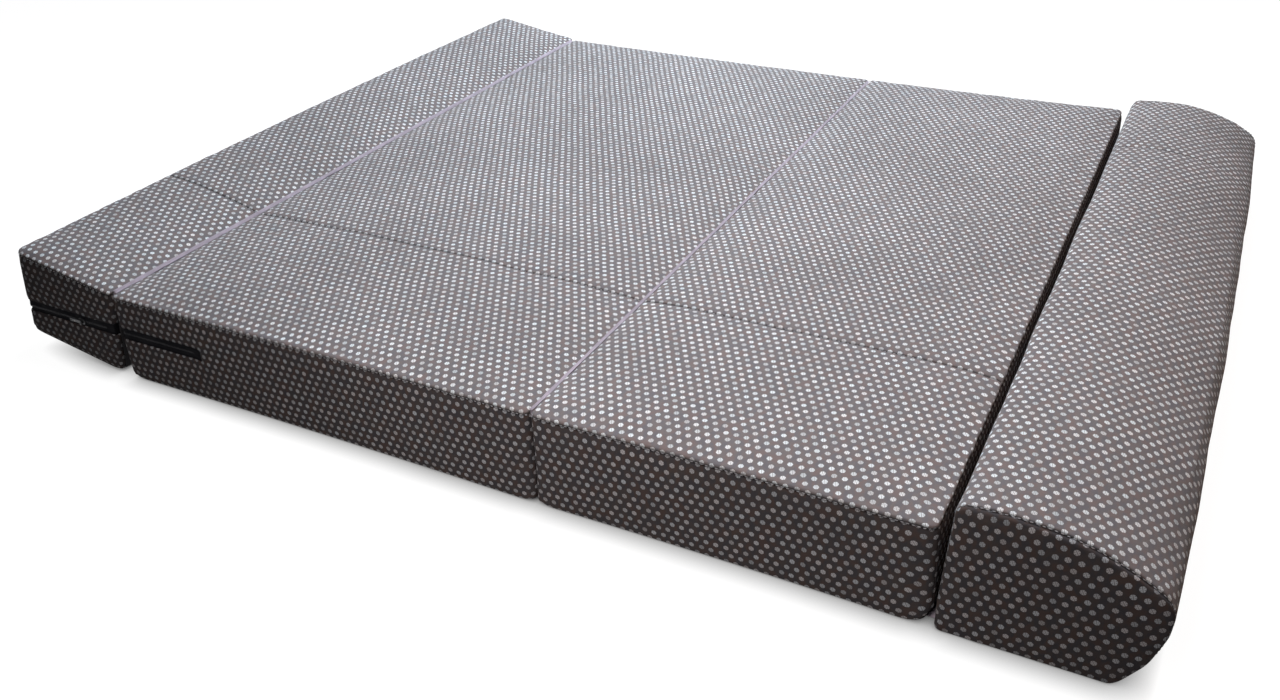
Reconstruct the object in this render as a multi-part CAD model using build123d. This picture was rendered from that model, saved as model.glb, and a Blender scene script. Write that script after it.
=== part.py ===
from build123d import *
import math
import os

# A fold-out sofa bed of four fabric-covered foam blocks, shown opened flat as a bed.
# From the foot to the back they are the foot block, the base block, the seat block
# and the taller back block. Fabric hinges join them: the first two along the top
# edges, the last one along the bottom edge.
# X runs along the bed towards the back block, Y across its width, Z is up.
# The origin is the middle of the base block's underside.
os.makedirs("parts", exist_ok=True)

# Driving sizes of the blocks, in millimetres
bed_width = 1600.0
block_height = 170.0  # foot, base and seat blocks, at the top of the crown
base_length = 838.0
seat_length = 582.0
foot_length = 228.0
back_flat = 62.0  # level top of the back block, next to the seat
back_slope_run = 178.0  # curved fall of that top towards the outer end
back_slope_drop = 53.0
back_height = 208.0
back_lean = 8.0  # how far the wall next to the seat leans away at its top
nose_radius = 38.0  # upper round of the back block's outer end
heel_run = 58.0  # how far in that end's long lower curve ends on the floor
foot_lift = 9.4  # degrees that the foot block's outer end is raised in the photograph

# Gaps between the blocks
hinge_gap = 3.0  # between the walls of blocks that are hinged at the top
back_gap = 15.0  # between the seat and the back block, at the floor
fold_gap = 1.0  # left between two blocks that lie folded on each other
clearance = 0.3  # least space round a piece that moves

# Soft forms
cover = 3.0  # fabric with its thin wadding
crown = 5.0  # rise of the top from its edges to its middle
foot_crown = 1.5  # the same on the foot block, whose tight cover keeps its edges high
crown_run_share = 0.2  # share of a block's length over which the top rises
shoulder_run_share = 0.35  # share of that run in its steep part
shoulder_share = 0.65  # share of the rise in its steep part
round_share = 1 - math.sqrt(0.5)  # where a round is halfway through its quarter turn
draw = 3.0  # how far the long sides are drawn in between their corners
top_edge_radius = 6.0
bottom_edge_radius = 8.0
hinge_corner_radius = 9.0  # upright corners next to a top hinge
outer_corner_radius = 16.0  # upright corners of the foot block's free end
seat_corner_radius = 11.0  # upright corners of the seat next to the back block
root_top_radius = 14.0
root_bottom_radius = 12.0
heel_corner_radius = 30.0
back_edge_radius = 7.0  # round between the back block's end panels and its wrap

# Seams of the cover
seam_drop = 1.5  # the border's seam, under the round of the top edge
top_seam_offset = 362.0  # lengthwise seam of foot, base and seat, from the near side
back_seam_offset = 310.0  # seam of the back block's wrap, from the far side

# Fabric hinges
web = 1.0  # thickness of a hinge's sewn webs
web_depth = 32.0  # how far they hang down between the blocks
bead_radius = 1.4  # rolled and stitched edge on the hinge line
lap = 8.0  # how far the floor hinge reaches under each block
floor_clearance = 0.3  # between the floor and the lowest point of the floor hinge
floor_bead_radius = 0.9
back_hinge_offset = 3.0  # from the floor hinge's line to the back block

# Zip round the foot block, level when the bed is open
zip_height = 93.0  # middle of the zip above the floor
zip_band = 20.0  # width of the slot that shows both tapes
zip_on_base = 190.0  # how far the zip runs along each side of the base block
tape = 1.0
tape_sink = 1.5  # from the face of the border to the face of the tape
chain_width = 6.0
chain_thickness = 1.8
stop_length = 4.0

# Slider and pull of the zip
slider_place = 96.0  # from the foot hinge's line to the middle of the slider
slider_length = 15.0
slider_width = 11.0
slider_plate = 2.0
slider_flange = 1.2
lug = 1.2
bar_radius = 0.8
eye_wall = 1.0
pull_width = 5.4
pull_length = 26.0
pull_thickness = 1.3
pull_hole_radius = 1.3

overrun = 50.0  # what a cutting slab reaches past the piece that it cuts

# Places worked out from the sizes
half_width = bed_width / 2
edge_height = block_height - crown
hinge_height = block_height + fold_gap / 2
foot_hinge_x = -(base_length + hinge_gap) / 2
seat_hinge_x = -foot_hinge_x
foot_end = foot_hinge_x - hinge_gap / 2
foot_start = foot_end - foot_length
seat_start = seat_hinge_x + hinge_gap / 2
seat_end = seat_start + seat_length
back_start = seat_end + back_gap
back_hinge_x = back_start - back_hinge_offset
back_hinge_height = floor_clearance + floor_bead_radius
high_seam = edge_height - top_edge_radius - seam_drop
low_seam = bottom_edge_radius + seam_drop
side_margin = hinge_corner_radius + seam_drop
top_seam_y = top_seam_offset - half_width
back_seam_y = half_width - back_seam_offset
zip_low = zip_height - zip_band / 2
zip_high = zip_height + zip_band / 2
chain_low = zip_height - chain_width / 2
chain_high = zip_height + chain_width / 2
zip_end_x = foot_hinge_x + zip_on_base
chain_front = tape_sink + (tape - chain_thickness) / 2  # depth under the border's face
chain_back = chain_front + chain_thickness
foot_hinge = Axis((foot_hinge_x, 0, hinge_height), (0, 1, 0))


def slab(x0, x1, y0, y1, z0, z1):
    """A box between two corners."""
    middle = Pos((x0 + x1) / 2, (y0 + y1) / 2, (z0 + z1) / 2)
    return middle * Box(x1 - x0, y1 - y0, z1 - z0)


def between(part, x=None, y=None, z=None):
    """The piece of a part that lies between the given limits; None is no limit."""
    box = part.bounding_box()
    limits = []
    for low, high, chosen in (
        (box.min.X, box.max.X, x),
        (box.min.Y, box.max.Y, y),
        (box.min.Z, box.max.Z, z),
    ):
        chosen = chosen or (None, None)
        limits.append(low - overrun if chosen[0] is None else chosen[0])
        limits.append(high + overrun if chosen[1] is None else chosen[1])
    return part & slab(*limits)


class Block:
    """A flat foam block: crowned top, long sides drawn in, every edge rounded."""

    def __init__(self, start, end, left_corner, right_corner, side_draw, rise):
        self.start = start
        self.end = end
        self.left_corner = left_corner
        self.right_corner = right_corner
        self.side_draw = side_draw
        self.rise = rise
        self.known = {}

    def form(self, inset):
        """The block's outer form, or the same form a little further in."""
        if inset not in self.known:
            steps = self.steps(block_height - 2 * inset)
            sections = [
                Pos(0, 0, inset + height) * self.plan(inset + depth)
                for depth, height in steps
            ]
            self.known[inset] = loft(sections, ruled=True)
        return self.known[inset]

    def steps(self, height):
        """How far in each level of the form lies, from the floor to the crown."""
        edge = height - self.rise
        low, high = bottom_edge_radius, top_edge_radius
        run = (self.end - self.start) * crown_run_share
        return [
            (low, 0),
            (low * round_share, low * round_share),
            (0, low),
            (0, edge - high),
            (high * round_share, edge - high * round_share),
            (high, edge),
            (high + run * shoulder_run_share, edge + self.rise * shoulder_share),
            (high + run, height),
        ]

    def plan(self, depth):
        """The rounded outline of one level, seen from above."""
        left = self.start + depth
        right = self.end - depth
        side = half_width - depth
        corners = []
        for x, radius in ((left, self.left_corner), (right, -self.right_corner)):
            bend = radius * round_share
            points = [(x, side - abs(radius)), (x + bend, side - abs(bend))]
            corners.append(points + [(x + radius, side)])
        far_left, far_right = corners
        near_left = [(x, -y) for x, y in far_left]
        near_right = [(x, -y) for x, y in far_right]
        middle = (left + right) / 2
        waist = side - self.side_draw
        lines = [ThreePointArc(*near_left), ThreePointArc(*reversed(near_right))]
        lines += [ThreePointArc(*far_left), ThreePointArc(*reversed(far_right))]
        lines += [Line(near_left[0], far_left[0]), Line(near_right[0], far_right[0])]
        for ends, y in (((near_left, near_right), -waist), ((far_left, far_right), waist)):
            first, last = ends[0][2], ends[1][2]
            if self.side_draw:
                lines.append(ThreePointArc(first, (middle, y), last))
            else:
                lines.append(Line(first, last))
        return make_face(Curve() + lines)

    def layer(self, outer, inner):
        """A skin between two depths under the block's face."""
        return self.form(outer) - self.form(inner)


class BackBlock:
    """The back block: a profile with a falling top and a round outer end."""

    def __init__(self):
        self.known = {}

    def profile(self):
        """The outline seen from the near end."""
        root = (back_start, 0)
        shoulder = (back_start + back_lean, back_height)
        crest = (shoulder[0] + back_flat, back_height)
        slope = 2 * math.atan(back_slope_drop / back_slope_run)
        slope_radius = back_slope_run / math.sin(slope)
        fall = (crest[0] + back_slope_run, back_height - back_slope_drop)
        hub = (
            fall[0] - nose_radius * math.sin(slope),
            fall[1] - nose_radius * math.cos(slope),
        )
        tip = (hub[0] + nose_radius, hub[1])
        heel = (tip[0] - heel_run, 0)
        heel_radius = (tip[1] ** 2 + heel_run**2) / (2 * heel_run)
        half_slope = slope / 2
        slope_mid = (
            crest[0] + slope_radius * math.sin(half_slope),
            crest[1] - slope_radius * (1 - math.cos(half_slope)),
        )
        nose_turn = (math.pi / 2 - slope) / 2
        nose_mid = (
            hub[0] + nose_radius * math.cos(nose_turn),
            hub[1] + nose_radius * math.sin(nose_turn),
        )
        heel_turn = math.asin(tip[1] / heel_radius) / 2
        heel_mid = (
            tip[0] - heel_radius * (1 - math.cos(heel_turn)),
            tip[1] - heel_radius * math.sin(heel_turn),
        )
        lines = [
            Line(root, shoulder),
            Line(shoulder, crest),
            ThreePointArc(crest, slope_mid, fall),
            ThreePointArc(fall, nose_mid, tip),
            ThreePointArc(tip, heel_mid, heel),
            Line(heel, root),
        ]
        face = make_face(Curve() + lines)
        for corner, radius in (
            (root, root_bottom_radius),
            (shoulder, root_top_radius),
            (heel, heel_corner_radius),
        ):
            place = Vector(*corner)
            spot = min(face.vertices(), key=lambda v: (Vector(v.X, v.Y) - place).length)
            face = fillet(spot, radius)
        return face

    def form(self, inset):
        """The block's outer form, or the same form a little further in."""
        if inset in self.known:
            return self.known[inset]
        face = self.profile()
        if inset:
            face = offset(face, amount=-inset)
        side = half_width - inset
        form = extrude(Plane.XZ * face, amount=side, both=True).solid()
        ends = [
            edge for edge in form.edges() if edge.bounding_box().size.Y < back_edge_radius
        ]
        form = fillet(ends, back_edge_radius - inset)
        self.known[inset] = form
        return form

    def layer(self, outer, inner):
        """A skin between two depths under the block's face."""
        return self.form(outer) - self.form(inner)


parts = {}


def keep(name, *pieces):
    """Stores a node as one shape."""
    shapes = [solid for piece in pieces for solid in piece.solids()]
    parts[name] = shapes[0] if len(shapes) == 1 else Compound(children=shapes)


def split_cover(block):
    """The cover of a flat block, cut along its seams."""
    skin = block.layer(0, cover)
    top = between(skin, z=(high_seam, None))
    middle = between(skin, z=(low_seam, high_seam))
    side = half_width - side_margin
    walls = between(middle, y=(-side, side))
    centre = (block.start + block.end) / 2
    return {
        "top_panel": between(top, y=(top_seam_y, None)),
        "top_strip": between(top, y=(None, top_seam_y)),
        "underside": between(skin, z=(None, low_seam)),
        "near_border": between(middle, y=(None, -side)),
        "far_border": between(middle, y=(side, None)),
        "start_wall": between(walls, x=(None, centre)),
        "end_wall": between(walls, x=(centre, None)),
    }


def top_hinge_web(x, side, top):
    """One sewn web of a top hinge, hanging against a block's wall."""
    wall = x + side * hinge_gap / 2
    face = wall - side * web
    reach = half_width - side_margin
    low = hinge_height - web_depth
    return slab(min(wall, face), max(wall, face), -reach, reach, low, top)


def bead(x, z, radius):
    """The rolled edge along a hinge line."""
    length = bed_width - 2 * side_margin
    return Pos(x, 0, z) * Rot(90, 0, 0) * Cylinder(radius, length)


def base_block():
    """The block that stays on the floor, with its part of the zip."""
    half = base_length / 2
    corner = hinge_corner_radius
    block = Block(-half, half, corner, corner, draw, crown)
    pieces = split_cover(block)
    slot_x = (None, zip_end_x)
    keep("base_core", block.form(cover))
    keep("base_top_panel", pieces["top_panel"])
    keep("base_top_strip", pieces["top_strip"])
    keep("base_underside", pieces["underside"])
    keep("base_foot_wall", pieces["start_wall"])
    keep("base_seat_wall", pieces["end_wall"])
    for name in ("near", "far"):
        border = pieces[name + "_border"]
        slot = between(border, x=slot_x, z=(zip_low, zip_high))
        keep("base_" + name + "_border", border - slot)
    side = half_width - side_margin
    tapes, chains, stops = [], [], []
    tape_skin = block.layer(tape_sink, tape_sink + tape)
    tape_skin = between(tape_skin, x=(None, zip_end_x))
    chain_skin = block.layer(chain_front, chain_back)
    chain_end = zip_end_x - stop_length
    for y in ((None, -side), (side, None)):
        tapes.append(between(tape_skin, y=y, z=(zip_low, chain_low)))
        tapes.append(between(tape_skin, y=y, z=(chain_high, zip_high)))
        chain_x = (None, chain_end - stop_length)
        stop_x = (chain_end - stop_length, chain_end)
        chains.append(between(chain_skin, x=chain_x, y=y, z=(chain_low, chain_high)))
        stops.append(between(chain_skin, x=stop_x, y=y, z=(chain_low, chain_high)))
    keep("base_zip_tapes", *tapes)
    keep("base_zip_chain", *chains)
    keep("zip_end_stops", *stops)
    for name, x, direction in (
        ("foot_hinge_strip", foot_hinge_x, 1),
        ("seat_hinge_strip", seat_hinge_x, -1),
    ):
        strip = top_hinge_web(x, direction, hinge_height)
        keep(name, strip + bead(x, hinge_height, bead_radius))


def foot_block():
    """The raised block at the foot end, with the zip round three of its sides."""
    block = Block(
        foot_start, foot_end, outer_corner_radius, hinge_corner_radius, 0, foot_crown
    )
    pieces = split_cover(block)
    border = pieces["near_border"] + pieces["start_wall"] + pieces["far_border"]

    def lifted(part):
        return part.rotate(foot_hinge, foot_lift)

    border = lifted(border)
    keep("foot_core", lifted(block.form(cover)))
    keep("foot_top_panel", lifted(pieces["top_panel"]))
    keep("foot_top_strip", lifted(pieces["top_strip"]))
    keep("foot_underside", lifted(pieces["underside"]))
    keep("foot_inner_wall", lifted(pieces["end_wall"]))
    keep("foot_upper_border", between(border, z=(zip_high, None)))
    keep("foot_lower_border", between(border, z=(None, zip_low)))
    open_side = slab(
        foot_end - side_margin,
        foot_end + overrun,
        side_margin - half_width,
        half_width - side_margin,
        0,
        block_height,
    )
    tapes = lifted(block.layer(tape_sink, tape_sink + tape) - open_side)
    keep("foot_upper_zip_tape", between(tapes, z=(chain_high, zip_high)))
    keep("foot_lower_zip_tape", between(tapes, z=(zip_low, chain_low)))
    chain = lifted(block.layer(chain_front, chain_back) - open_side)
    keep("foot_zip_chain", between(chain, z=(chain_low, chain_high)))
    flap_top = hinge_height - bead_radius - clearance
    keep("foot_hinge_flap", lifted(top_hinge_web(foot_hinge_x, -1, flap_top)))


def zip_slider():
    """The slider on the near side of the foot block, and its pull."""
    face = chain_front - clearance - half_width
    x = foot_hinge_x - slider_place
    front = face - slider_plate
    plate = slab(
        x - slider_length / 2,
        x + slider_length / 2,
        front,
        face,
        zip_height - slider_width / 2,
        zip_height + slider_width / 2,
    )
    plate = fillet(plate.edges().filter_by(Axis.Y), slider_width / 3)
    flanges = []
    for side in (-1, 1):
        rim = zip_height + side * slider_width / 2
        inside = rim - side * slider_flange
        flanges.append(
            slab(
                x - slider_width / 3,
                x + slider_width / 3,
                face,
                tape_sink - clearance - half_width,
                min(rim, inside),
                max(rim, inside),
            )
        )
    eye_radius = bar_radius + clearance + eye_wall
    bar_y = front - clearance - eye_radius
    inner = pull_width / 2 + clearance
    lugs = []
    for side in (-1, 1):
        near = zip_height + side * inner
        far = near + side * lug
        lugs.append(
            slab(
                x - eye_radius,
                x + eye_radius,
                bar_y - eye_radius,
                front,
                min(near, far),
                max(near, far),
            )
        )
    bar = Pos(x, bar_y, zip_height) * Cylinder(bar_radius, 2 * (inner + lug))
    keep("zip_slider", plate + flanges + lugs + bar)
    tab_end = x - pull_length
    tab = slab(
        tab_end,
        x,
        bar_y - pull_thickness / 2,
        bar_y + pull_thickness / 2,
        zip_height - pull_width / 2,
        zip_height + pull_width / 2,
    )
    outer = tab.edges().filter_by(Axis.Y).group_by(Axis.X)[0]
    tab = fillet(outer, pull_width / 3)
    hole_x = tab_end + 2 * pull_hole_radius
    hole = Pos(hole_x, bar_y, zip_height) * Rot(90, 0, 0)
    tab -= hole * Cylinder(pull_hole_radius, 2 * pull_width)
    eye = Pos(x, bar_y, zip_height) * Cylinder(eye_radius, pull_width)
    bore = Pos(x, bar_y, zip_height) * Cylinder(bar_radius + clearance, 2 * pull_width)
    keep("zip_pull", tab + eye - bore)
    return x, bar_y


def seat_block():
    """The block that folds over onto the base and carries the back block."""
    block = Block(
        seat_start, seat_end, hinge_corner_radius, seat_corner_radius, draw, crown
    )
    pieces = split_cover(block)
    keep("seat_core", block.form(cover))
    keep("seat_top_panel", pieces["top_panel"])
    keep("seat_top_strip", pieces["top_strip"])
    keep("seat_underside", pieces["underside"])
    keep("seat_near_border", pieces["near_border"])
    keep("seat_far_border", pieces["far_border"])
    keep("seat_base_wall", pieces["start_wall"])
    keep("seat_back_wall", pieces["end_wall"])
    flap_top = hinge_height - bead_radius - clearance
    keep("seat_hinge_flap", top_hinge_web(seat_hinge_x, 1, flap_top))
    strip = floor_strip(seat_end - lap, back_hinge_x)
    strip += bead(back_hinge_x, back_hinge_height, floor_bead_radius)
    keep("back_hinge_strip", strip - block.form(0))


def floor_strip(x0, x1):
    """A flat strip of the hinge that lies under two blocks' edges."""
    reach = half_width - side_margin
    low = back_hinge_height - web / 2
    return slab(x0, x1, -reach, reach, low, low + web)


def back_block():
    """The block that stands up as the backrest of the sofa."""
    block = BackBlock()
    skin = block.layer(0, cover)
    edge = half_width - back_edge_radius - seam_drop
    sleeve = between(skin, y=(-edge, edge))
    above = between(sleeve, z=(low_seam + root_bottom_radius - bottom_edge_radius, None))
    root_top = back_height - root_top_radius - seam_drop
    wall_end = back_start + back_lean + root_top_radius
    wall = between(above, x=(None, wall_end), z=(None, root_top))
    wrap = above - wall
    keep("back_core", block.form(cover))
    keep("back_near_end", between(skin, y=(None, -edge)))
    keep("back_far_end", between(skin, y=(edge, None)))
    keep("back_underside", sleeve - above)
    keep("back_root_wall", wall)
    keep("back_wrap_panel", between(wrap, y=(None, back_seam_y)))
    keep("back_wrap_strip", between(wrap, y=(back_seam_y, None)))
    flap_start = back_hinge_x + floor_bead_radius + clearance
    flap = floor_strip(flap_start, back_start + lap)
    keep("back_hinge_flap", flap - block.form(0))


base_block()
foot_block()
slider_x, bar_y = zip_slider()
seat_block()
back_block()

for name, shape in parts.items():
    export_step(shape, os.path.join("parts", name + ".step"))

print("nodes", len(parts))
print("foot hinge x, z", foot_hinge_x, hinge_height)
print("seat hinge x, z", seat_hinge_x, hinge_height)
print("back hinge x, z", back_hinge_x, back_hinge_height)
print("slider x", slider_x, "pull hinge y, z", bar_y, zip_height)
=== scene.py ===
"""A fold-out sofa bed of four cloth-covered foam blocks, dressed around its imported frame."""

import logging
import math
from dataclasses import dataclass, field
from enum import Enum, IntEnum

import bpy
import numpy as np
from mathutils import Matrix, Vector


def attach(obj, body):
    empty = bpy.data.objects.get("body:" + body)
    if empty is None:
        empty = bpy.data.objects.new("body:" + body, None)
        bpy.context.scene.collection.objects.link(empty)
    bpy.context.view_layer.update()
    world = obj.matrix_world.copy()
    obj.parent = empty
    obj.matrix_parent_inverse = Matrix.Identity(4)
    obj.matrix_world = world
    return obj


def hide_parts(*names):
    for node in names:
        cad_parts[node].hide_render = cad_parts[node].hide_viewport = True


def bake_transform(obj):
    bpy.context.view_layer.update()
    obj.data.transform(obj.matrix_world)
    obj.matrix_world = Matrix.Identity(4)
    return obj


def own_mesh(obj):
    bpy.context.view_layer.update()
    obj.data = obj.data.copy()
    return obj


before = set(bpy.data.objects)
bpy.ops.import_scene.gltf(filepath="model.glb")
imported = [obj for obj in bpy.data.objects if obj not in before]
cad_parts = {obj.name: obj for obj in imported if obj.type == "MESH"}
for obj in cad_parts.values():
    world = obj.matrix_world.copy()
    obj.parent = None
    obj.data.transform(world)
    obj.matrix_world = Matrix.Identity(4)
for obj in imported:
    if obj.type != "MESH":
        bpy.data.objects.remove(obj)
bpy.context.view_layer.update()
log = logging.getLogger("sofa_bed")

Colour = tuple[float, float, float]
Pair = tuple[float, float]

# half the bed's width, and the places of the lines across it
HALF_WIDTH = 0.8
SEAM_Y = -0.438
INNER_Y = 0.782
BORDER_Y = 0.7895
BORDER_LIMIT = 0.7893

# heights of the first rows of a border, and of the zip with its half widths and depths
LOW_SEAM = 0.0095
LOW_ROW = 0.014
ZIP_HEIGHT = 0.093
ZIP_HALF = 0.010
TAPE_HALF = 0.0065
COIL_HALF = 0.003
COIL_SINK = 0.0020
TAPE_SINK = 0.0015
TAPE_THICKNESS = 0.001

# how deep the stitches of each seam lie
SEAM_SINK = 0.0002
TOP_SEAM_SINK = 0.0008
WRAP_SEAM_SINK = 0.0006

# the hinges, and how far the soft blocks would give way when folded, which flatten does not read
HINGE_HEIGHT = 0.1705
HINGE_ROOM = 0.0005
WEB_LOW = 0.1385
WEB_THICKNESS = 0.0007
FAR_FOOT_LIFT = 0.005
PRESSED_HEIGHT = 0.1588
PRESSED_KEEP = 0.05
FOAM_FLOOR = 0.003
FOAM_KEEP = 0.89


class Body(Enum):
    """The bodies that pieces ride on."""

    BASE = "base_block"
    FOOT = "foot_block"
    SEAT = "seat_block"
    BACK = "back_block"


class Slot(Enum):
    """The record's material slots that the pieces made here take."""

    FOAM = "foam"
    TOP = "cover_top"
    BORDER = "cover_border"
    LINING = "lining"
    HINGE_TAPE = "hinge_tape"
    ZIP_TAPE = "zip_tape"
    ZIP_TEETH = "zip_teeth"


class Panel(IntEnum):
    """The cut pieces of a block's cover, as marked on its faces."""

    TOP_PANEL = 1
    TOP_STRIP = 2
    UNDERSIDE = 3
    NEAR = 4
    FAR = 5
    START_WALL = 6
    END_WALL = 7
    UPPER_BORDER = 8
    LOWER_BORDER = 9
    ZIP_UPPER = 10
    ZIP_COIL = 11
    ZIP_LOWER = 12


ZIP_PANELS = (Panel.ZIP_UPPER, Panel.ZIP_COIL, Panel.ZIP_LOWER)


# ---- finishes


def feed(tree: bpy.types.NodeTree, socket: bpy.types.NodeSocket, value) -> None:
    """Links a socket, or sets its own value."""
    if isinstance(value, bpy.types.NodeSocket):
        tree.links.new(value, socket)
    elif socket.type == "RGBA":
        socket.default_value = (*value, 1.0)
    else:
        socket.default_value = value


def add_node(tree: bpy.types.NodeTree, kind: str, inputs: dict, **settings) -> bpy.types.Node:
    """Adds a node to a tree.

    Args:
        tree: the tree.
        kind: the node's type.
        inputs: socket name or number to a value or a socket.
        settings: the node's own properties.

    Returns:
        The new node.
    """
    node = tree.nodes.new(kind)
    for key, value in settings.items():
        setattr(node, key, value)
    for key, value in inputs.items():
        feed(tree, node.inputs[key], value)
    return node


class Graph:
    """A material's nodes, added and joined in short calls."""

    def __init__(self, name: str) -> None:
        """Starts a material round one shader.

        Args:
            name: the material's name.
        """
        self.material = bpy.data.materials.new(name)
        self.material.use_nodes = True
        self.tree = self.material.node_tree
        self.shader = self.tree.nodes["Principled BSDF"]

    def add(self, kind: str, inputs: dict, **settings) -> bpy.types.Node:
        """Adds a shader node, its kind given without the prefix."""
        return add_node(self.tree, "ShaderNode" + kind, inputs, **settings)

    def math(self, operation: str, first, second=0.0, third=0.0) -> bpy.types.NodeSocket:
        """One sum of up to three numbers, as a socket."""
        return self.add("Math", {0: first, 1: second, 2: third}, operation=operation).outputs[0]

    def mix(self, share, first, second, kind: str = "MIX") -> bpy.types.NodeSocket:
        """A blend of two colours."""
        inputs = {0: share, 6: first, 7: second}
        return self.add("Mix", inputs, data_type="RGBA", blend_type=kind).outputs[2]

    def dim(self, colour, factor) -> bpy.types.NodeSocket:
        """A colour times a number."""
        grey = self.add("CombineColor", {0: factor, 1: factor, 2: factor}).outputs[0]
        return self.mix(1.0, colour, grey, "MULTIPLY")

    def ramp(self, value, low: float, high: float, start=0.0, end=1.0):
        """A smooth step from start at low to end at high."""
        inputs = {"Value": value, 1: low, 2: high, 3: start, 4: end}
        return self.add("MapRange", inputs, interpolation_type="SMOOTHSTEP").outputs[0]

    def noise(self, vector, scale: float, detail: float = 2.0, part: int = 0):
        """Soft noise: part 0 is its number, part 1 its colour."""
        inputs = {"Vector": vector, "Scale": scale, "Detail": detail}
        return self.add("TexNoise", inputs).outputs[part]

    def place(self) -> bpy.types.NodeSocket:
        """The piece's own coordinates in metres."""
        return self.add("TexCoord", {}).outputs["Object"]

    def axes(self, vector) -> tuple:
        """The three numbers of a vector."""
        return tuple(self.add("SeparateXYZ", {0: vector}).outputs)

    def stretch(self, vector, scale: tuple) -> bpy.types.NodeSocket:
        """A vector with each axis scaled."""
        return self.add("Mapping", {"Vector": vector, "Scale": scale}).outputs[0]

    def relief(self, height, depth: float, strength: float = 1.0) -> None:
        """Bumps the shader by a height from 0 to 1, times a depth in metres."""
        inputs = {"Height": height, "Distance": depth, "Strength": strength}
        self.set(Normal=self.add("Bump", inputs).outputs[0])

    def set(self, **values) -> None:
        """Sets the shader's sockets, named with underscores for blanks."""
        for key, value in values.items():
            feed(self.tree, self.shader.inputs[key.replace("_", " ")], value)


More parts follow.
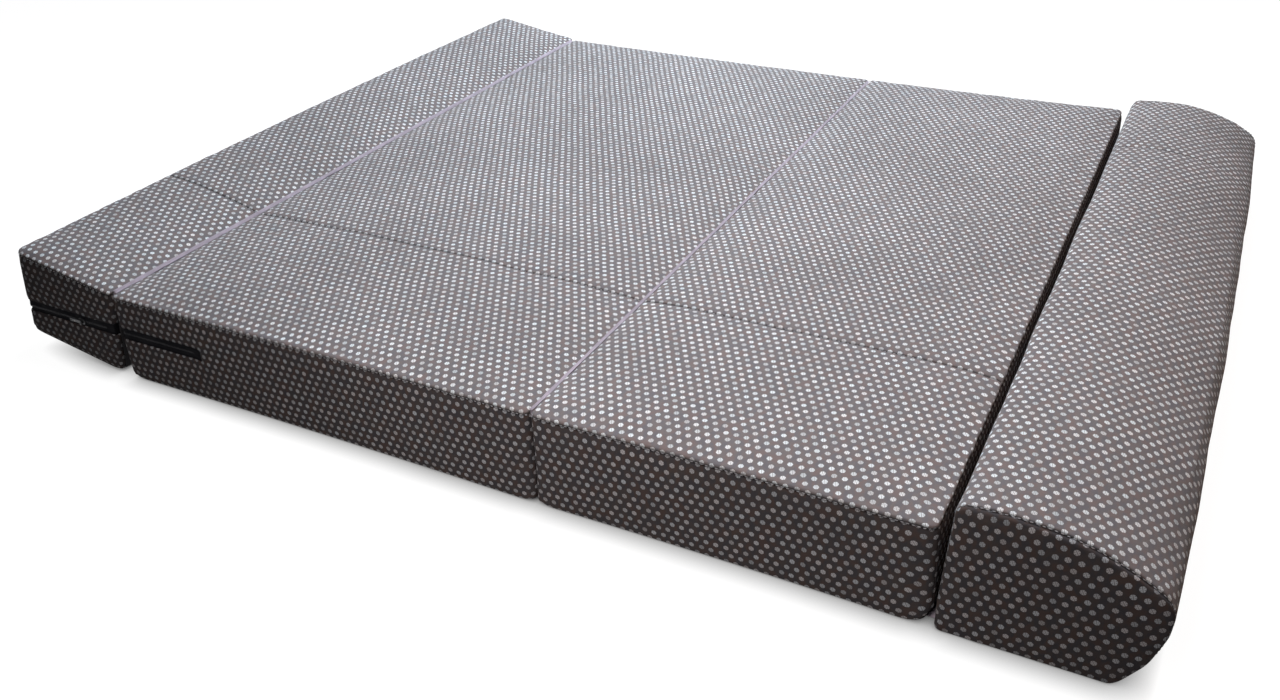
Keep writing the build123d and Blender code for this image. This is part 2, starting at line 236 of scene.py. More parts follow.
@dataclass(frozen=True)
class RosetteCloth:
    """Woven cover cloth with small pale rosettes in offset rows."""

    name: str
    ground: Colour = (0.213, 0.184, 0.179)
    ground_cool: Colour = (0.184, 0.171, 0.18)
    ground_warm: Colour = (0.225, 0.175, 0.166)
    rosette: Colour = (0.87, 0.93, 0.95)
    rosette_warm: Colour = (0.9, 0.88, 0.87)
    column_pitch: float = 0.0149
    row_pitch: float = 0.0130
    radius: float = 0.0039
    slack: float = 0.0005
    drift: float = 0.004
    drift_scale: float = 3.0
    yarn: float = 0.0011
    streak_scale: float = 130.0
    warmth_scale: float = 85.0
    wear_scale: float = 2.6
    seam_shade: float = 0.34
    depth: float = 0.0006
    sheen: float = 0.15
    shine: float = 0.14

    def material(self) -> bpy.types.Material:
        """Builds the cloth on the piece's own cloth map, which is in metres."""
        g = Graph(self.name)
        flat = g.add("UVMap", {}, uv_map="cloth").outputs[0]
        centred = {0: g.noise(flat, self.drift_scale, 1.0, 1), 1: (0.5, 0.5, 0.5)}
        wander = g.add("VectorMath", centred, operation="SUBTRACT").outputs[0]
        wander = g.add("VectorMath", {0: wander, "Scale": self.drift * 2}, operation="SCALE").outputs[0]
        moved = g.add("VectorMath", {0: flat, 1: wander}, operation="ADD").outputs[0]
        u, v, _ = g.axes(moved)
        across = g.math("DIVIDE", v, self.row_pitch)
        row = g.math("FLOOR", across)
        odd = g.math("FLOORED_MODULO", row, 2.0)
        along = g.math("ADD", g.math("DIVIDE", u, self.column_pitch), g.math("MULTIPLY", odd, 0.5))
        column = g.math("FLOOR", along)
        cell = g.add("CombineXYZ", {0: column, 1: row}).outputs[0]
        chance = g.add("TexWhiteNoise", {"Vector": cell}, noise_dimensions="2D").outputs
        luck = g.add("SeparateColor", {0: chance[1]}).outputs
        x = self.offset(g, g.math("SUBTRACT", along, column), self.column_pitch, luck[0])
        y = self.offset(g, g.math("SUBTRACT", across, row), self.row_pitch, luck[1])
        away = g.math("SQRT", g.math("ADD", g.math("MULTIPLY", x, x), g.math("MULTIPLY", y, y)))
        disc = g.ramp(away, self.radius * 0.84, self.radius * 1.08, 1.0, 0.0)
        slit = self.slits(g, x, y, away, luck[2])
        bloom = g.math("MULTIPLY", disc, g.math("SUBTRACT", 1.0, g.math("MULTIPLY", slit, 0.8)))
        weave = self.weave(g, moved)
        streak = g.noise(g.stretch(moved, (1.0, 0.45, 1.0)), self.streak_scale, 2.0)
        ground = g.mix(g.ramp(streak, 0.4, 0.6), self.ground_cool, self.ground)
        warmth = g.noise(g.stretch(moved, (1.0, 0.6, 1.0)), self.warmth_scale, 1.0)
        ground = g.mix(g.ramp(warmth, 0.48, 0.66), ground, self.ground_warm)
        faded = g.ramp(g.math("ADD", luck[0], luck[1]), 0.2, 1.6, 0.72, 1.12)
        pale = g.dim(g.mix(luck[2], self.rosette, self.rosette_warm), faded)
        worn = g.ramp(g.noise(moved, self.wear_scale, 3.0), 0.25, 0.75, 0.9, 1.08)
        # Darker in the weave's holes, lighter on the yarns: painted shade and highlight of the weave.
        tone = g.math("MULTIPLY", worn, g.ramp(weave, 0.0, 1.0, 0.78, 1.1))
        # Darker along the seams: partly the joint's own dark line, partly painted shade in the seam's
        # groove.
        seam = g.add("Attribute", {}, attribute_name="seam").outputs["Fac"]
        tone = g.math("MULTIPLY", tone, g.ramp(seam, 0.1, 0.9, 1.0, self.seam_shade))
        colour = g.dim(g.mix(bloom, ground, pale), tone)
        height = g.math("ADD", g.math("MULTIPLY", bloom, 0.7), g.math("MULTIPLY", weave, 0.3))
        g.relief(height, self.depth, 0.6)
        g.set(Base_Color=colour, Roughness=g.ramp(bloom, 0.0, 1.0, 0.88, 0.6))
        g.set(Sheen_Weight=self.sheen, Sheen_Roughness=0.45, Specular_IOR_Level=self.shine)
        return g.material

    def offset(self, g: Graph, share, pitch: float, chance):
        """The way from a rosette's own middle along one axis, in metres."""
        centred = g.math("MULTIPLY", g.math("SUBTRACT", share, 0.5), pitch)
        return g.math("ADD", centred, g.ramp(chance, 0.0, 1.0, -self.slack, self.slack))

    def slits(self, g: Graph, x, y, away, chance):
        """The dark lines that part a rosette's six petals: one goes through, two stop short of its heart."""
        lean = g.math("MULTIPLY_ADD", chance, 0.3, 0.3)
        deepest = None
        for turn in (0.0, math.pi / 3, -math.pi / 3):
            angle = g.math("ADD", lean, turn)
            part = g.math("MULTIPLY", x, g.math("COSINE", angle))
            other = g.math("MULTIPLY", y, g.math("SINE", angle))
            line = g.math("ABSOLUTE", g.math("ADD", part, other))
            line = g.ramp(line, 0.0001, 0.0006, 1.0, 0.0)
            if turn:
                line = g.math("MULTIPLY", line, g.ramp(away, self.radius * 0.25, self.radius * 0.7))
            deepest = line if deepest is None else g.math("MAXIMUM", deepest, line)
        return deepest

    def weave(self, g: Graph, vector):
        """The crossing yarns, from 0 in the holes to 1 on top."""
        turn = 2 * math.pi / self.yarn
        waves = [g.math("SINE", g.math("MULTIPLY", axis, turn)) for axis in g.axes(vector)[:2]]
        return g.ramp(g.math("MULTIPLY", *waves), -1.0, 1.0)


@dataclass(frozen=True)
class Lining:
    """Plain dark lining with a fine slub."""

    name: str = "dark_lining"
    colour: Colour = (0.02, 0.019, 0.021)
    worn: Colour = (0.045, 0.043, 0.046)

    def material(self) -> bpy.types.Material:
        """Builds the lining."""
        g = Graph(self.name)
        place = g.place()
        slub = g.noise(g.stretch(place, (60.0, 60.0, 500.0)), 1.0, 3.0)
        yarns = g.noise(g.stretch(place, (900.0, 900.0, 900.0)), 1.0, 1.0)
        share = g.math("MULTIPLY", slub, yarns)
        g.set(Base_Color=g.mix(g.ramp(share, 0.15, 0.4), self.colour, self.worn))
        g.set(Roughness=g.ramp(slub, 0.3, 0.7, 0.8, 0.95), Specular_IOR_Level=0.25)
        g.relief(share, 0.0006, 0.6)
        return g.material


@dataclass(frozen=True)
class Foam:
    """Open-celled upholstery foam."""

    name: str = "seat_foam"
    colour: Colour = (0.72, 0.66, 0.45)
    aged: Colour = (0.66, 0.57, 0.34)
    hollow: Colour = (0.45, 0.38, 0.2)
    cell: float = 650.0

    def material(self) -> bpy.types.Material:
        """Builds the foam."""
        g = Graph(self.name)
        place = g.place()
        cells = g.add("TexVoronoi", {"Vector": place, "Scale": self.cell}).outputs[0]
        body = g.mix(g.ramp(g.noise(place, 9.0, 2.0), 0.35, 0.65), self.colour, self.aged)
        # Darker in the low parts between the cells: painted shade in the foam's pores.
        g.set(Base_Color=g.mix(g.ramp(cells, 0.25, 0.6), body, self.hollow))
        g.set(Roughness=g.ramp(cells, 0.0, 1.0, 0.85, 1.0), Subsurface_Weight=0.1)
        g.relief(g.math("SUBTRACT", 1.0, cells), 0.0008, 0.8)
        return g.material


@dataclass(frozen=True)
class Webbing:
    """Ribbed tape: the pale hinge tape and the black tape of the zip."""

    name: str
    colour: Colour
    rib_highlight: Colour
    rib: float = 0.0011
    gloss: float = 0.7
    shine: float = 0.3

    def material(self) -> bpy.types.Material:
        """Builds the tape."""
        g = Graph(self.name)
        place = g.place()
        x, y, z = g.axes(place)
        turn = 2 * math.pi / self.rib
        slant = g.math("ADD", g.math("ADD", x, y), g.math("MULTIPLY", z, 1.7))
        ribs = g.ramp(g.math("SINE", g.math("MULTIPLY", slant, turn)), -1.0, 1.0)
        rubbed = g.noise(place, 38.0, 3.0)
        # Lighter on the ribs' crests, darker between them: painted highlight and shade of the ribs.
        colour = g.mix(g.math("MULTIPLY", ribs, 0.55), self.colour, self.rib_highlight)
        g.set(Base_Color=g.dim(colour, g.ramp(rubbed, 0.3, 0.75, 0.8, 1.1)))
        g.set(Roughness=g.ramp(rubbed, 0.3, 0.7, self.gloss, 0.92), Specular_IOR_Level=self.shine)
        g.relief(ribs, 0.0003, 0.7)
        return g.material


@dataclass(frozen=True)
class Thread:
    """Twisted sewing thread."""

    name: str
    colour: Colour
    ply: float = 0.0008

    def material(self) -> bpy.types.Material:
        """Builds the thread."""
        g = Graph(self.name)
        place = g.place()
        x, y, z = g.axes(place)
        slant = g.math("ADD", g.math("ADD", x, y), z)
        twist = g.math("SINE", g.math("MULTIPLY", slant, 2 * math.pi / self.ply))
        fade = g.noise(place, 55.0, 2.0)
        dark = tuple(part * 0.6 for part in self.colour)
        body = g.mix(g.ramp(fade, 0.3, 0.7), dark, self.colour)
        g.set(Base_Color=g.mix(g.ramp(twist, -1.0, 1.0, 0.0, 0.4), body, dark))
        g.set(Roughness=g.ramp(fade, 0.3, 0.7, 0.6, 0.8), Specular_IOR_Level=0.4)
        g.relief(g.ramp(twist, -1.0, 1.0), 0.0001, 0.6)
        return g.material


@dataclass(frozen=True)
class NylonCoil:
    """Black moulded nylon with a slight gloss."""

    name: str = "nylon_coil"
    colour: Colour = (0.016, 0.016, 0.019)
    dusty: Colour = (0.03, 0.03, 0.034)

    def material(self) -> bpy.types.Material:
        """Builds the nylon."""
        g = Graph(self.name)
        dust = g.noise(g.place(), 240.0, 3.0)
        g.set(Base_Color=g.mix(g.ramp(dust, 0.45, 0.8), self.colour, self.dusty))
        g.set(Roughness=g.ramp(dust, 0.3, 0.7, 0.35, 0.55), Specular_IOR_Level=0.15)
        g.relief(dust, 0.0001, 0.3)
        return g.material


@dataclass(frozen=True)
class LacqueredMetal:
    """Dark lacquer on cast metal, rubbed bright here and there."""

    name: str = "dark_lacquered_metal"
    lacquer: Colour = (0.03, 0.03, 0.034)
    bare: Colour = (0.42, 0.41, 0.4)

    def material(self) -> bpy.types.Material:
        """Builds the metal."""
        g = Graph(self.name)
        place = g.place()
        rub = g.noise(place, 420.0, 4.0)
        worn = g.ramp(rub, 0.6, 0.72, 0.0, 0.8)
        scratch = g.noise(g.stretch(place, (300.0, 300.0, 2500.0)), 1.0, 2.0)
        g.set(Base_Color=g.mix(worn, self.lacquer, self.bare), Metallic=g.ramp(worn, 0.0, 1.0, 0.35, 1.0))
        g.set(Roughness=g.ramp(scratch, 0.3, 0.7, 0.25, 0.45))
        g.relief(scratch, 0.00005, 0.4)
        return g.material


@dataclass(frozen=True)
class Finishes:
    """Every material of the sofa bed, made once."""

    made: dict = field(default_factory=dict)

    def get(self, finish) -> bpy.types.Material:
        """The material of a finish, built the first time it is asked for."""
        if finish.name not in self.made:
            self.made[finish.name] = finish.material()
        return self.made[finish.name]


PALE_THREAD = Thread("pale_sewing_thread", (0.6, 0.58, 0.6))
FINISH_OF = {
    Slot.FOAM: Foam(),
    Slot.TOP: RosetteCloth("rosette_cloth_top"),
    # The top's cloth, darker for every border and wall: painted shade, for sides that face away from the
    # light; the real cloth is the same.
    Slot.BORDER: RosetteCloth(
        "rosette_cloth_border_painted_shade",
        ground=(0.088, 0.074, 0.072),
        ground_cool=(0.074, 0.069, 0.074),
        ground_warm=(0.1, 0.073, 0.066),
        rosette=(0.54, 0.57, 0.6),
        rosette_warm=(0.57, 0.54, 0.54),
        sheen=0.03,
        shine=0.05,
    ),
    Slot.LINING: Lining(),
    Slot.HINGE_TAPE: Webbing("pale_hinge_tape", (0.43, 0.37, 0.43), (0.62, 0.55, 0.62)),
    Slot.ZIP_TAPE: Webbing(
        "black_zip_tape", (0.01, 0.01, 0.012), (0.022, 0.022, 0.026), 0.0008, shine=0.03
    ),
    Slot.ZIP_TEETH: NylonCoil(),
}
FINISHES = Finishes()


# ---- meshes


def put(name: str, data: bpy.types.ID) -> bpy.types.Object:
    """Puts a new object into the scene, at the origin."""
    thing = bpy.data.objects.new(name, data)
    bpy.context.scene.collection.objects.link(thing)
    return thing


def new_object(name: str, points: np.ndarray, faces: list, edges: list = ()) -> bpy.types.Object:
    """Makes a mesh object at the origin, with its place in its mesh.

    Args:
        name: the piece's name.
        points: its points, in metres.
        faces: its faces as rows of point numbers.
        edges: its edges, for a path that has no faces.

    Returns:
        The new object, linked to the scene.
    """
    mesh = bpy.data.meshes.new(name)
    corners = [tuple(p) for p in np.asarray(points, float)]
    mesh.from_pydata(corners, list(edges), [tuple(map(int, f)) for f in faces])
    mesh.update()
    return put(name, mesh)


def evaluated_mesh(thing: bpy.types.Object, name: str) -> bpy.types.Mesh:
    """A plain mesh of an object with its modifiers applied."""
    graph = bpy.context.evaluated_depsgraph_get()
    finished = thing.evaluated_get(graph)
    mesh = bpy.data.meshes.new_from_object(finished, preserve_all_data_layers=True, depsgraph=graph)
    mesh.name = name
    return mesh


def discard(thing: bpy.types.Object) -> None:
    """Deletes an object and its mesh."""
    mesh = thing.data
    bpy.data.objects.remove(thing)
    bpy.data.meshes.remove(mesh)


def bake(thing: bpy.types.Object, name: str) -> bpy.types.Object:
    """Turns an object with modifiers into a plain one, shaded smooth."""
    mesh = evaluated_mesh(thing, name)
    discard(thing)
    mesh.shade_smooth()
    return put(name, mesh)


def thicken(thing: bpy.types.Object, thickness: float) -> None:
    """Gives a sheet its thickness, inwards from its outer face."""
    wall = thing.modifiers.new("Thickness", "SOLIDIFY")
    wall.thickness = thickness
    wall.offset = -1.0


def values(items: bpy.types.bpy_prop_collection, key: str, width: int = 1, kind: type = float) -> np.ndarray:
    """Reads one property of many items.

    Args:
        items: the items, such as a mesh's points.
        key: the property.
        width: how many numbers it has.
        kind: what the numbers are.

    Returns:
        The numbers, with a row for each item where it has several.
    """
    found = np.empty(len(items) * width, kind)
    items.foreach_get(key, found)
    return found.reshape(-1, width) if width > 1 else found


def note(mesh: bpy.types.Mesh, name: str, numbers: np.ndarray, domain: str = "POINT") -> None:
    """Notes a number or a vector on each point or face of a mesh.

    Args:
        mesh: the mesh.
        name: the note's name.
        numbers: a number or a row of three for each item.
        domain: whether the items are points or faces.
    """
    single = numbers.ndim == 1
    kind = "INT" if numbers.dtype.kind == "i" else "FLOAT" if single else "FLOAT_VECTOR"
    marks = mesh.attributes.new(name, kind, domain)
    marks.data.foreach_set("value" if single else "vector", numbers.ravel())


def map_cloth(mesh: bpy.types.Mesh, flat: np.ndarray) -> None:
    """Notes the place of each corner on the flat cloth."""
    mesh.uv_layers.new(name="cloth").data.foreach_set("uv", flat.ravel())


def hand_over(thing: bpy.types.Object, body: Body, slot: Slot, nodes: tuple = ()) -> bpy.types.Object:
    """Gives a piece its body and the finish of its slot, and hides the nodes that it stands for.

    Args:
        thing: the piece; one that has materials already keeps them.
        body: what it rides on.
        slot: the record's slot of its finish.
        nodes: the nodes that it replaces.

    Returns:
        The same piece.
    """
    if not thing.data.materials:
        thing.data.materials.append(FINISHES.get(FINISH_OF[slot]))
    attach(thing, body.value)
    if nodes:
        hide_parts(*nodes)
    log.info("%s: %d faces, rides on %s", thing.name, len(thing.data.polygons), body.value)
    return thing


@dataclass(frozen=True)
class Waves:
    """A smooth relief that is the same each run: a sum of plane waves."""

    seed: int
    shortest: float
    longest: float
    count: int = 9

    def at(self, points: np.ndarray) -> np.ndarray:
        """The relief at each point, about from -1 to 1."""
        chance = np.random.default_rng(self.seed)
        ways = chance.normal(size=(self.count, 3))
        ways /= np.linalg.norm(ways, axis=1)[:, None]
        lengths = chance.uniform(self.shortest, self.longest, self.count)
        phases = chance.uniform(0, 2 * math.pi, self.count)
        turns = points @ (ways / lengths[:, None]).T * 2 * math.pi + phases
        return np.sin(turns).sum(1) / math.sqrt(self.count)


def spread(first: float, last: float, step: float, marks: tuple = ()) -> list[float]:
    """Places from first to last, about a step apart, with each mark on one of them.

    Args:
        first: the first place.
        last: the last place.
        step: the longest way between two places.
        marks: places that have to be there.

    Returns:
        The places in rising order.
    """
    stops = sorted({first, last, *[m for m in marks if first < m < last]})
    places = [stops[0]]
    for low, high in zip(stops, stops[1:]):
        parts = max(1, math.ceil((high - low) / step - 1e-6))
        places += [low + (high - low) * (k + 1) / parts for k in range(parts)]
    return places


def arc(radius: float, turns: tuple = (0.0, 30.0, 60.0, 90.0)) -> list[Pair]:
    """The inset and the height of a quarter round at some angles, from its flat end."""
    angles = [math.radians(turn) for turn in turns]
    return [(radius * (1 - math.sin(a)), radius * (1 - math.cos(a))) for a in angles]


def shares(line: np.ndarray) -> np.ndarray:
    """How far along a line each of its points lies, from 0 to 1."""
    steps = np.linalg.norm(np.diff(line, axis=0), axis=1)
    return np.concatenate([[0], np.cumsum(steps)]) / steps.sum()


@dataclass
class Form:
    """A closed padded form: rings of points round an axis, and a grid over each end.

    The rings run against the clock seen from the axis' end. Each ring has four sides,
    and the first and third have as many points as the second and fourth.
    """

    rings: np.ndarray
    outward: np.ndarray
    counts: tuple[int, int]
    along: np.ndarray
    up: tuple[int, int]

    def __post_init__(self) -> None:
        """Lays the end grids inside the first and the last ring."""
        self.levels, self.columns = self.rings.shape[:2]
        size = self.levels * self.columns
        self.points = [self.rings.reshape(-1, 3)]
        self.grids = []
        for ring in (0, self.levels - 1):
            numbers = self.edge_numbers(ring)
            inside = self.patch(self.rings[ring])[1:-1, 1:-1]
            shape = inside.shape[:2]
            numbers[1:-1, 1:-1] = size + np.arange(shape[0] * shape[1]).reshape(shape)
            size += shape[0] * shape[1]
            self.points.append(inside.reshape(-1, 3))
            self.grids.append(numbers)
        self.points = np.vstack(self.points)

    def sides(self, ring: np.ndarray) -> tuple:
        """The four sides of a ring, the last two turned to run as the first two."""
        across, deep = self.counts
        return (
            ring[: across + 1],
            ring[across : across + deep + 1],
            ring[across + deep : 2 * across + deep + 1][::-1],
            np.concatenate([ring[2 * across + deep :], ring[:1]])[::-1],
        )

    def patch(self, ring: np.ndarray) -> np.ndarray:
        """The grid of points that fills a ring."""
        near, right, far, left = self.sides(ring)
        u = ((shares(near) + shares(far)) / 2)[:, None, None]
        v = ((shares(left) + shares(right)) / 2)[None, :, None]
        lines = (1 - v) * near[:, None] + v * far[:, None]
        lines = lines + (1 - u) * left[None] + u * right[None]
        low = (1 - u) * near[0] + u * near[-1]
        high = (1 - u) * far[0] + u * far[-1]
        return lines - (1 - v) * low - v * high

    def edge_numbers(self, ring: int) -> np.ndarray:
        """The grid of point numbers of an end, with its border filled in."""
        near, right, far, left = self.sides(np.arange(self.columns) + ring * self.columns)
        numbers = np.zeros((len(near), len(right)), int)
        numbers[:, 0], numbers[:, -1] = near, far
        numbers[0, :], numbers[-1, :] = left, right
        return numbers

    def faces(self) -> tuple[np.ndarray, np.ndarray]:
        """The faces, and for each its ring: -1 on the first end, -2 on the last."""
        found, marks = [], []
        turn = np.arange(self.columns)
        after = (turn + 1) % self.columns
        for level in range(self.levels - 1):
            low, high = level * self.columns, (level + 1) * self.columns
            found.append(np.stack([low + turn, low + after, high + after, high + turn], 1))
            marks += [level] * self.columns
        for mark, grid in zip((-1, -2), self.grids):
            quads = np.stack([grid[:-1, :-1], grid[1:, :-1], grid[1:, 1:], grid[:-1, 1:]], -1)
            quads = quads.reshape(-1, 4)
            found.append(quads[:, ::-1] if mark == -1 else quads)
            marks += [mark] * len(quads)
        return np.vstack(found), np.array(marks)

    def climb(self) -> np.ndarray:
        """The way from the first ring to each ring, along the form."""
        steps = np.linalg.norm(np.diff(self.rings, axis=0), axis=2)
        return np.vstack([np.zeros(self.columns), np.cumsum(steps, 0)])

    def cloth_map(self, faces: np.ndarray, marks: np.ndarray, seams: Pair) -> np.ndarray:
        """The place of each corner of each face on the flat cloth, in metres.

        Args:
            faces: the faces.
            marks: their rings.
            seams: the rings of the seams; the cloth of an end reaches to them.

        Returns:
            One pair for each corner of each face.
        """
        first, second = self.up
        climb = self.climb()
        flat = np.zeros((len(faces), 4, 2))
        around = np.append(self.along, self.along[-1] + np.linalg.norm(self.rings[0, 0] - self.rings[0, -1]))
        side = marks >= 0
        level, column = faces[side] // self.columns, faces[side] % self.columns
        wrapped = (column == 0) & (column.max(1) == self.columns - 1)[:, None]
        flat[side] = np.stack([around[np.where(wrapped, self.columns, column)], climb[level, column]], -1)
        for end, ring, beyond in ((-1, 0, marks < seams[0]), (-2, self.levels - 1, marks >= seams[1])):
            cap = marks == end
            flat[cap] = self.points[faces[cap]][:, :, [first, second]]
            fold = beyond & side
            level, column = faces[fold] // self.columns, faces[fold] % self.columns
            reach = np.abs(climb[level, column] - climb[ring, column])[..., None]
            flat[fold] = self.rings[ring][column][:, :, [first, second]] + self.outward[column] * reach
        return flat


@dataclass
class Puff:
    """The cloth simulation that rounds a tight cover out over its foam."""

    pressure: float = 4.0
    frames: int = 20
    limit: float = 0.003
    sink: float = 0.0003
    slack: float = -0.004
    quality: int = 4
    mass: float = 0.4

    def run(self, thing: bpy.types.Object, pinned: np.ndarray) -> None:
        """Swells a mesh between its pinned points and keeps the result in it.

        Args:
            thing: the closed mesh.
            pinned: the numbers of the points that the seams hold.
        """
        before = values(thing.data.vertices, "co", 3)
        out = values(thing.data.vertices, "normal", 3)
        held = thing.vertex_groups.new(name="seams")
        held.add([int(k) for k in pinned], 1.0, "REPLACE")
        cloth = thing.modifiers.new("Cloth", "CLOTH")
        rules = cloth.settings
        rules.quality = self.quality
        rules.mass = self.mass
        rules.use_pressure = True
        rules.uniform_pressure_force = self.pressure
        rules.vertex_group_mass = held.name
        rules.shrink_min = self.slack
        rules.effector_weights.gravity = 0.0
        cloth.point_cache.frame_end = self.frames
        scene = bpy.context.scene
        for step in range(1, self.frames + 1):
            scene.frame_set(step)
        graph = bpy.context.evaluated_depsgraph_get()
        after = values(thing.evaluated_get(graph).data.vertices, "co", 3)
        way = ((after - before) * out).sum(1)
        way = (self.limit * np.tanh(way / self.limit)).clip(-self.sink)
        after = before + out * way[:, None]
        after[:, 2] = after[:, 2].clip(0)
        thing.modifiers.remove(cloth)
        thing.vertex_groups.remove(held)
        scene.frame_set(1)
        thing.data.vertices.foreach_set("co", after.ravel())
        thing.data.update()


@dataclass
class Cover:
    """The cover of one block: its closed form, marked with panels, then cut along the seams."""

    name: str
    seed: int
    form: Form = field(init=False)
    seams: tuple[int, int] = field(init=False)
    edge: np.ndarray = field(init=False)
    cloth: float = 0.0024
    groove: float = 0.0013
    groove_width: float = 0.0026
    lump: float = 0.0009
    lump_reach: float = 0.03
    broad_waves: tuple = (0.16, 0.5)
    small_waves: tuple = (0.07, 0.14)
    gather_waves: tuple = (0.024, 0.055, 14)
    pucker: float = 0.0007
    pucker_reach: float = 0.014
    foam_room: float = 0.0006
    puff: Puff = field(default_factory=Puff)

    def mark(self, faces: np.ndarray, marks: np.ndarray) -> np.ndarray:
        """The panel of each face. Each kind of block has its own."""
        raise NotImplementedError

    def place(self, points: np.ndarray) -> np.ndarray:
        """Moves points from the form's own position to the block's place at rest."""
        return points

    def resting(self, rest: np.ndarray) -> np.ndarray:
        """Which points lie on the floor, and stay flat."""
        return rest[:, 2] < LOW_SEAM

    def line_depth(self, rest: np.ndarray) -> np.ndarray:
        """How deep, from 0 to 1, each point lies in a seam inside the panels."""
        return np.zeros(len(rest))

    def lift_corners(self, points: np.ndarray, rest: np.ndarray) -> np.ndarray:
        """Rounds a block's lower corners up from the floor."""
        return points

    def shape_more(self, points: np.ndarray, rest: np.ndarray, out: np.ndarray) -> np.ndarray:
        """Anything else that bends this block's form."""
        return points

    def build(self) -> None:
        """Makes the closed form, swells it, refines it and works the seams in."""
        points = self.form.points
        faces, marks = self.form.faces()
        block = new_object(self.name + "_form", points, faces)
        mesh = block.data
        note(mesh, "rest", points)
        note(mesh, "edge", self.edge)
        note(mesh, "panel", self.mark(faces, marks).astype(np.int32), "FACE")
        map_cloth(mesh, self.form.cloth_map(faces, marks, self.seams))
        mesh.shade_smooth()
        self.foam_mesh = self.shrunk(mesh)
        held = (np.abs(self.edge) < 1e-4) | self.resting(points) | (self.line_depth(points) > 0.9)
        self.puff.run(block, np.nonzero(held)[0])
        finer = block.modifiers.new("Finer", "SUBSURF")
        finer.levels = finer.render_levels = 1
        self.mesh = evaluated_mesh(block, self.name + "_fine")
        discard(block)
        self.work_seams(self.mesh)

    def shrunk(self, cover: bpy.types.Mesh) -> bpy.types.Mesh:
        """The foam's own form, which lies a cover's thickness inside."""
        mesh = cover.copy()
        out = values(mesh.vertices, "normal", 3)
        points = self.form.points - out * (self.cloth + self.foam_room)
        points = self.lift_corners(points, self.form.points)
        mesh.vertices.foreach_set("co", self.place(points).ravel())
        mesh.update()
        return mesh

    def work_seams(self, mesh: bpy.types.Mesh) -> None:
        """Sinks the seams, puckers the cloth along them and lays it in soft lumps."""
        points, out = values(mesh.vertices, "co", 3), values(mesh.vertices, "normal", 3)
        rest = values(mesh.attributes["rest"].data, "vector", 3)
        edge = values(mesh.attributes["edge"].data, "value")
        line = self.line_depth(rest)
        seam = np.maximum(np.exp(-((edge / self.groove_width) ** 2)), line)
        lumps = Waves(self.seed, *self.broad_waves).at(rest) * self.lump
        lumps += Waves(self.seed + 1, *self.small_waves).at(rest) * self.lump * 0.3
        gathers = Waves(self.seed + 2, *self.gather_waves).at(rest)
        near_seam = np.exp(-np.abs(edge) / self.pucker_reach) + line * 0.5
        move = lumps * (1 - np.exp(-np.abs(edge) / self.lump_reach))
        move += self.pucker * gathers * near_seam - self.groove * seam
        points = points + out * (move * (1.0 - self.resting(rest)))[:, None]
        points = self.shape_more(points, rest, out)
        mesh.vertices.foreach_set("co", self.place(points).ravel())
        note(mesh, "seam", seam)
        mesh.update()

    def cut(self, name: str, panels: tuple, sink: float = 0.0, thickness: float = 0.0) -> bpy.types.Object:
        """Cuts panels out of the cover as one piece with a wall's thickness.

        Args:
            name: the piece's name.
            panels: the panels that it holds.
            sink: how far it lies inside the form.
            thickness: its thickness, or 0 for the cover's own.

        Returns:
            The piece.
        """
        tags = values(self.mesh.attributes["panel"].data, "value", kind=np.int32)
        chosen = np.isin(tags, [int(p) for p in panels])
        return self.cut_faces(name, chosen, sink, thickness or self.cloth)

    def web(self, name: str, way: int) -> bpy.types.Object:
        """Cuts the sewn web of a hinge, which lies on the upper part of an end wall.

        Args:
            name: the piece's name.
            way: -1 for the wall where the block starts, 1 for the one where it ends.

        Returns:
            The piece.
        """
        facing = values(self.mesh.polygons, "normal", 3)[:, 0] * way
        rest = values(self.mesh.attributes["rest"].data, "vector", 3)
        centres = rest[self.quads()].mean(1)
        chosen = (facing > 0.8) & (np.abs(centres[:, 1]) < BORDER_LIMIT)
        chosen &= (centres[:, 2] > WEB_LOW) & (centres[:, 2] < self.height - self.top_radius)
        return self.cut_faces(name, chosen, -WEB_THICKNESS, WEB_THICKNESS)

    def quads(self) -> np.ndarray:
        """The four point numbers of each face of the finished cover."""
        return values(self.mesh.loops, "vertex_index", kind=np.int32).reshape(-1, 4)

    def cut_faces(self, name: str, chosen: np.ndarray, sink: float, thickness: float) -> bpy.types.Object:
        """Cuts some of the cover's faces out as one piece with a wall's thickness."""
        mesh = self.mesh
        flat = values(mesh.uv_layers["cloth"].data, "uv", 2).reshape(-1, 8)
        seam = values(mesh.attributes["seam"].data, "value")
        used, numbers = np.unique(self.quads()[chosen], return_inverse=True)
        points = values(mesh.vertices, "co", 3)[used]
        out = values(mesh.vertices, "normal", 3)[used]
        piece = new_object(name, points - out * sink, numbers.reshape(-1, 4))
        map_cloth(piece.data, flat[chosen])
        note(piece.data, "seam", seam[used])
        piece.data.shade_smooth()
        thicken(piece, thickness)
        return piece

    def foam(self, name: str, body: Body, node: str) -> bpy.types.Object:
        """Makes the block's foam core."""
        self.foam_mesh.name = name
        piece = hand_over(put(name, self.foam_mesh), body, Slot.FOAM, (node,))
        return piece


# ---- the blocks


def beside(middle: float, ways: tuple = (0.0025, 0.0065)) -> tuple:
    """A place and some places on both sides of it."""
    return tuple(middle + sign * way for way in ways for sign in (-1, 1)) + (middle,)


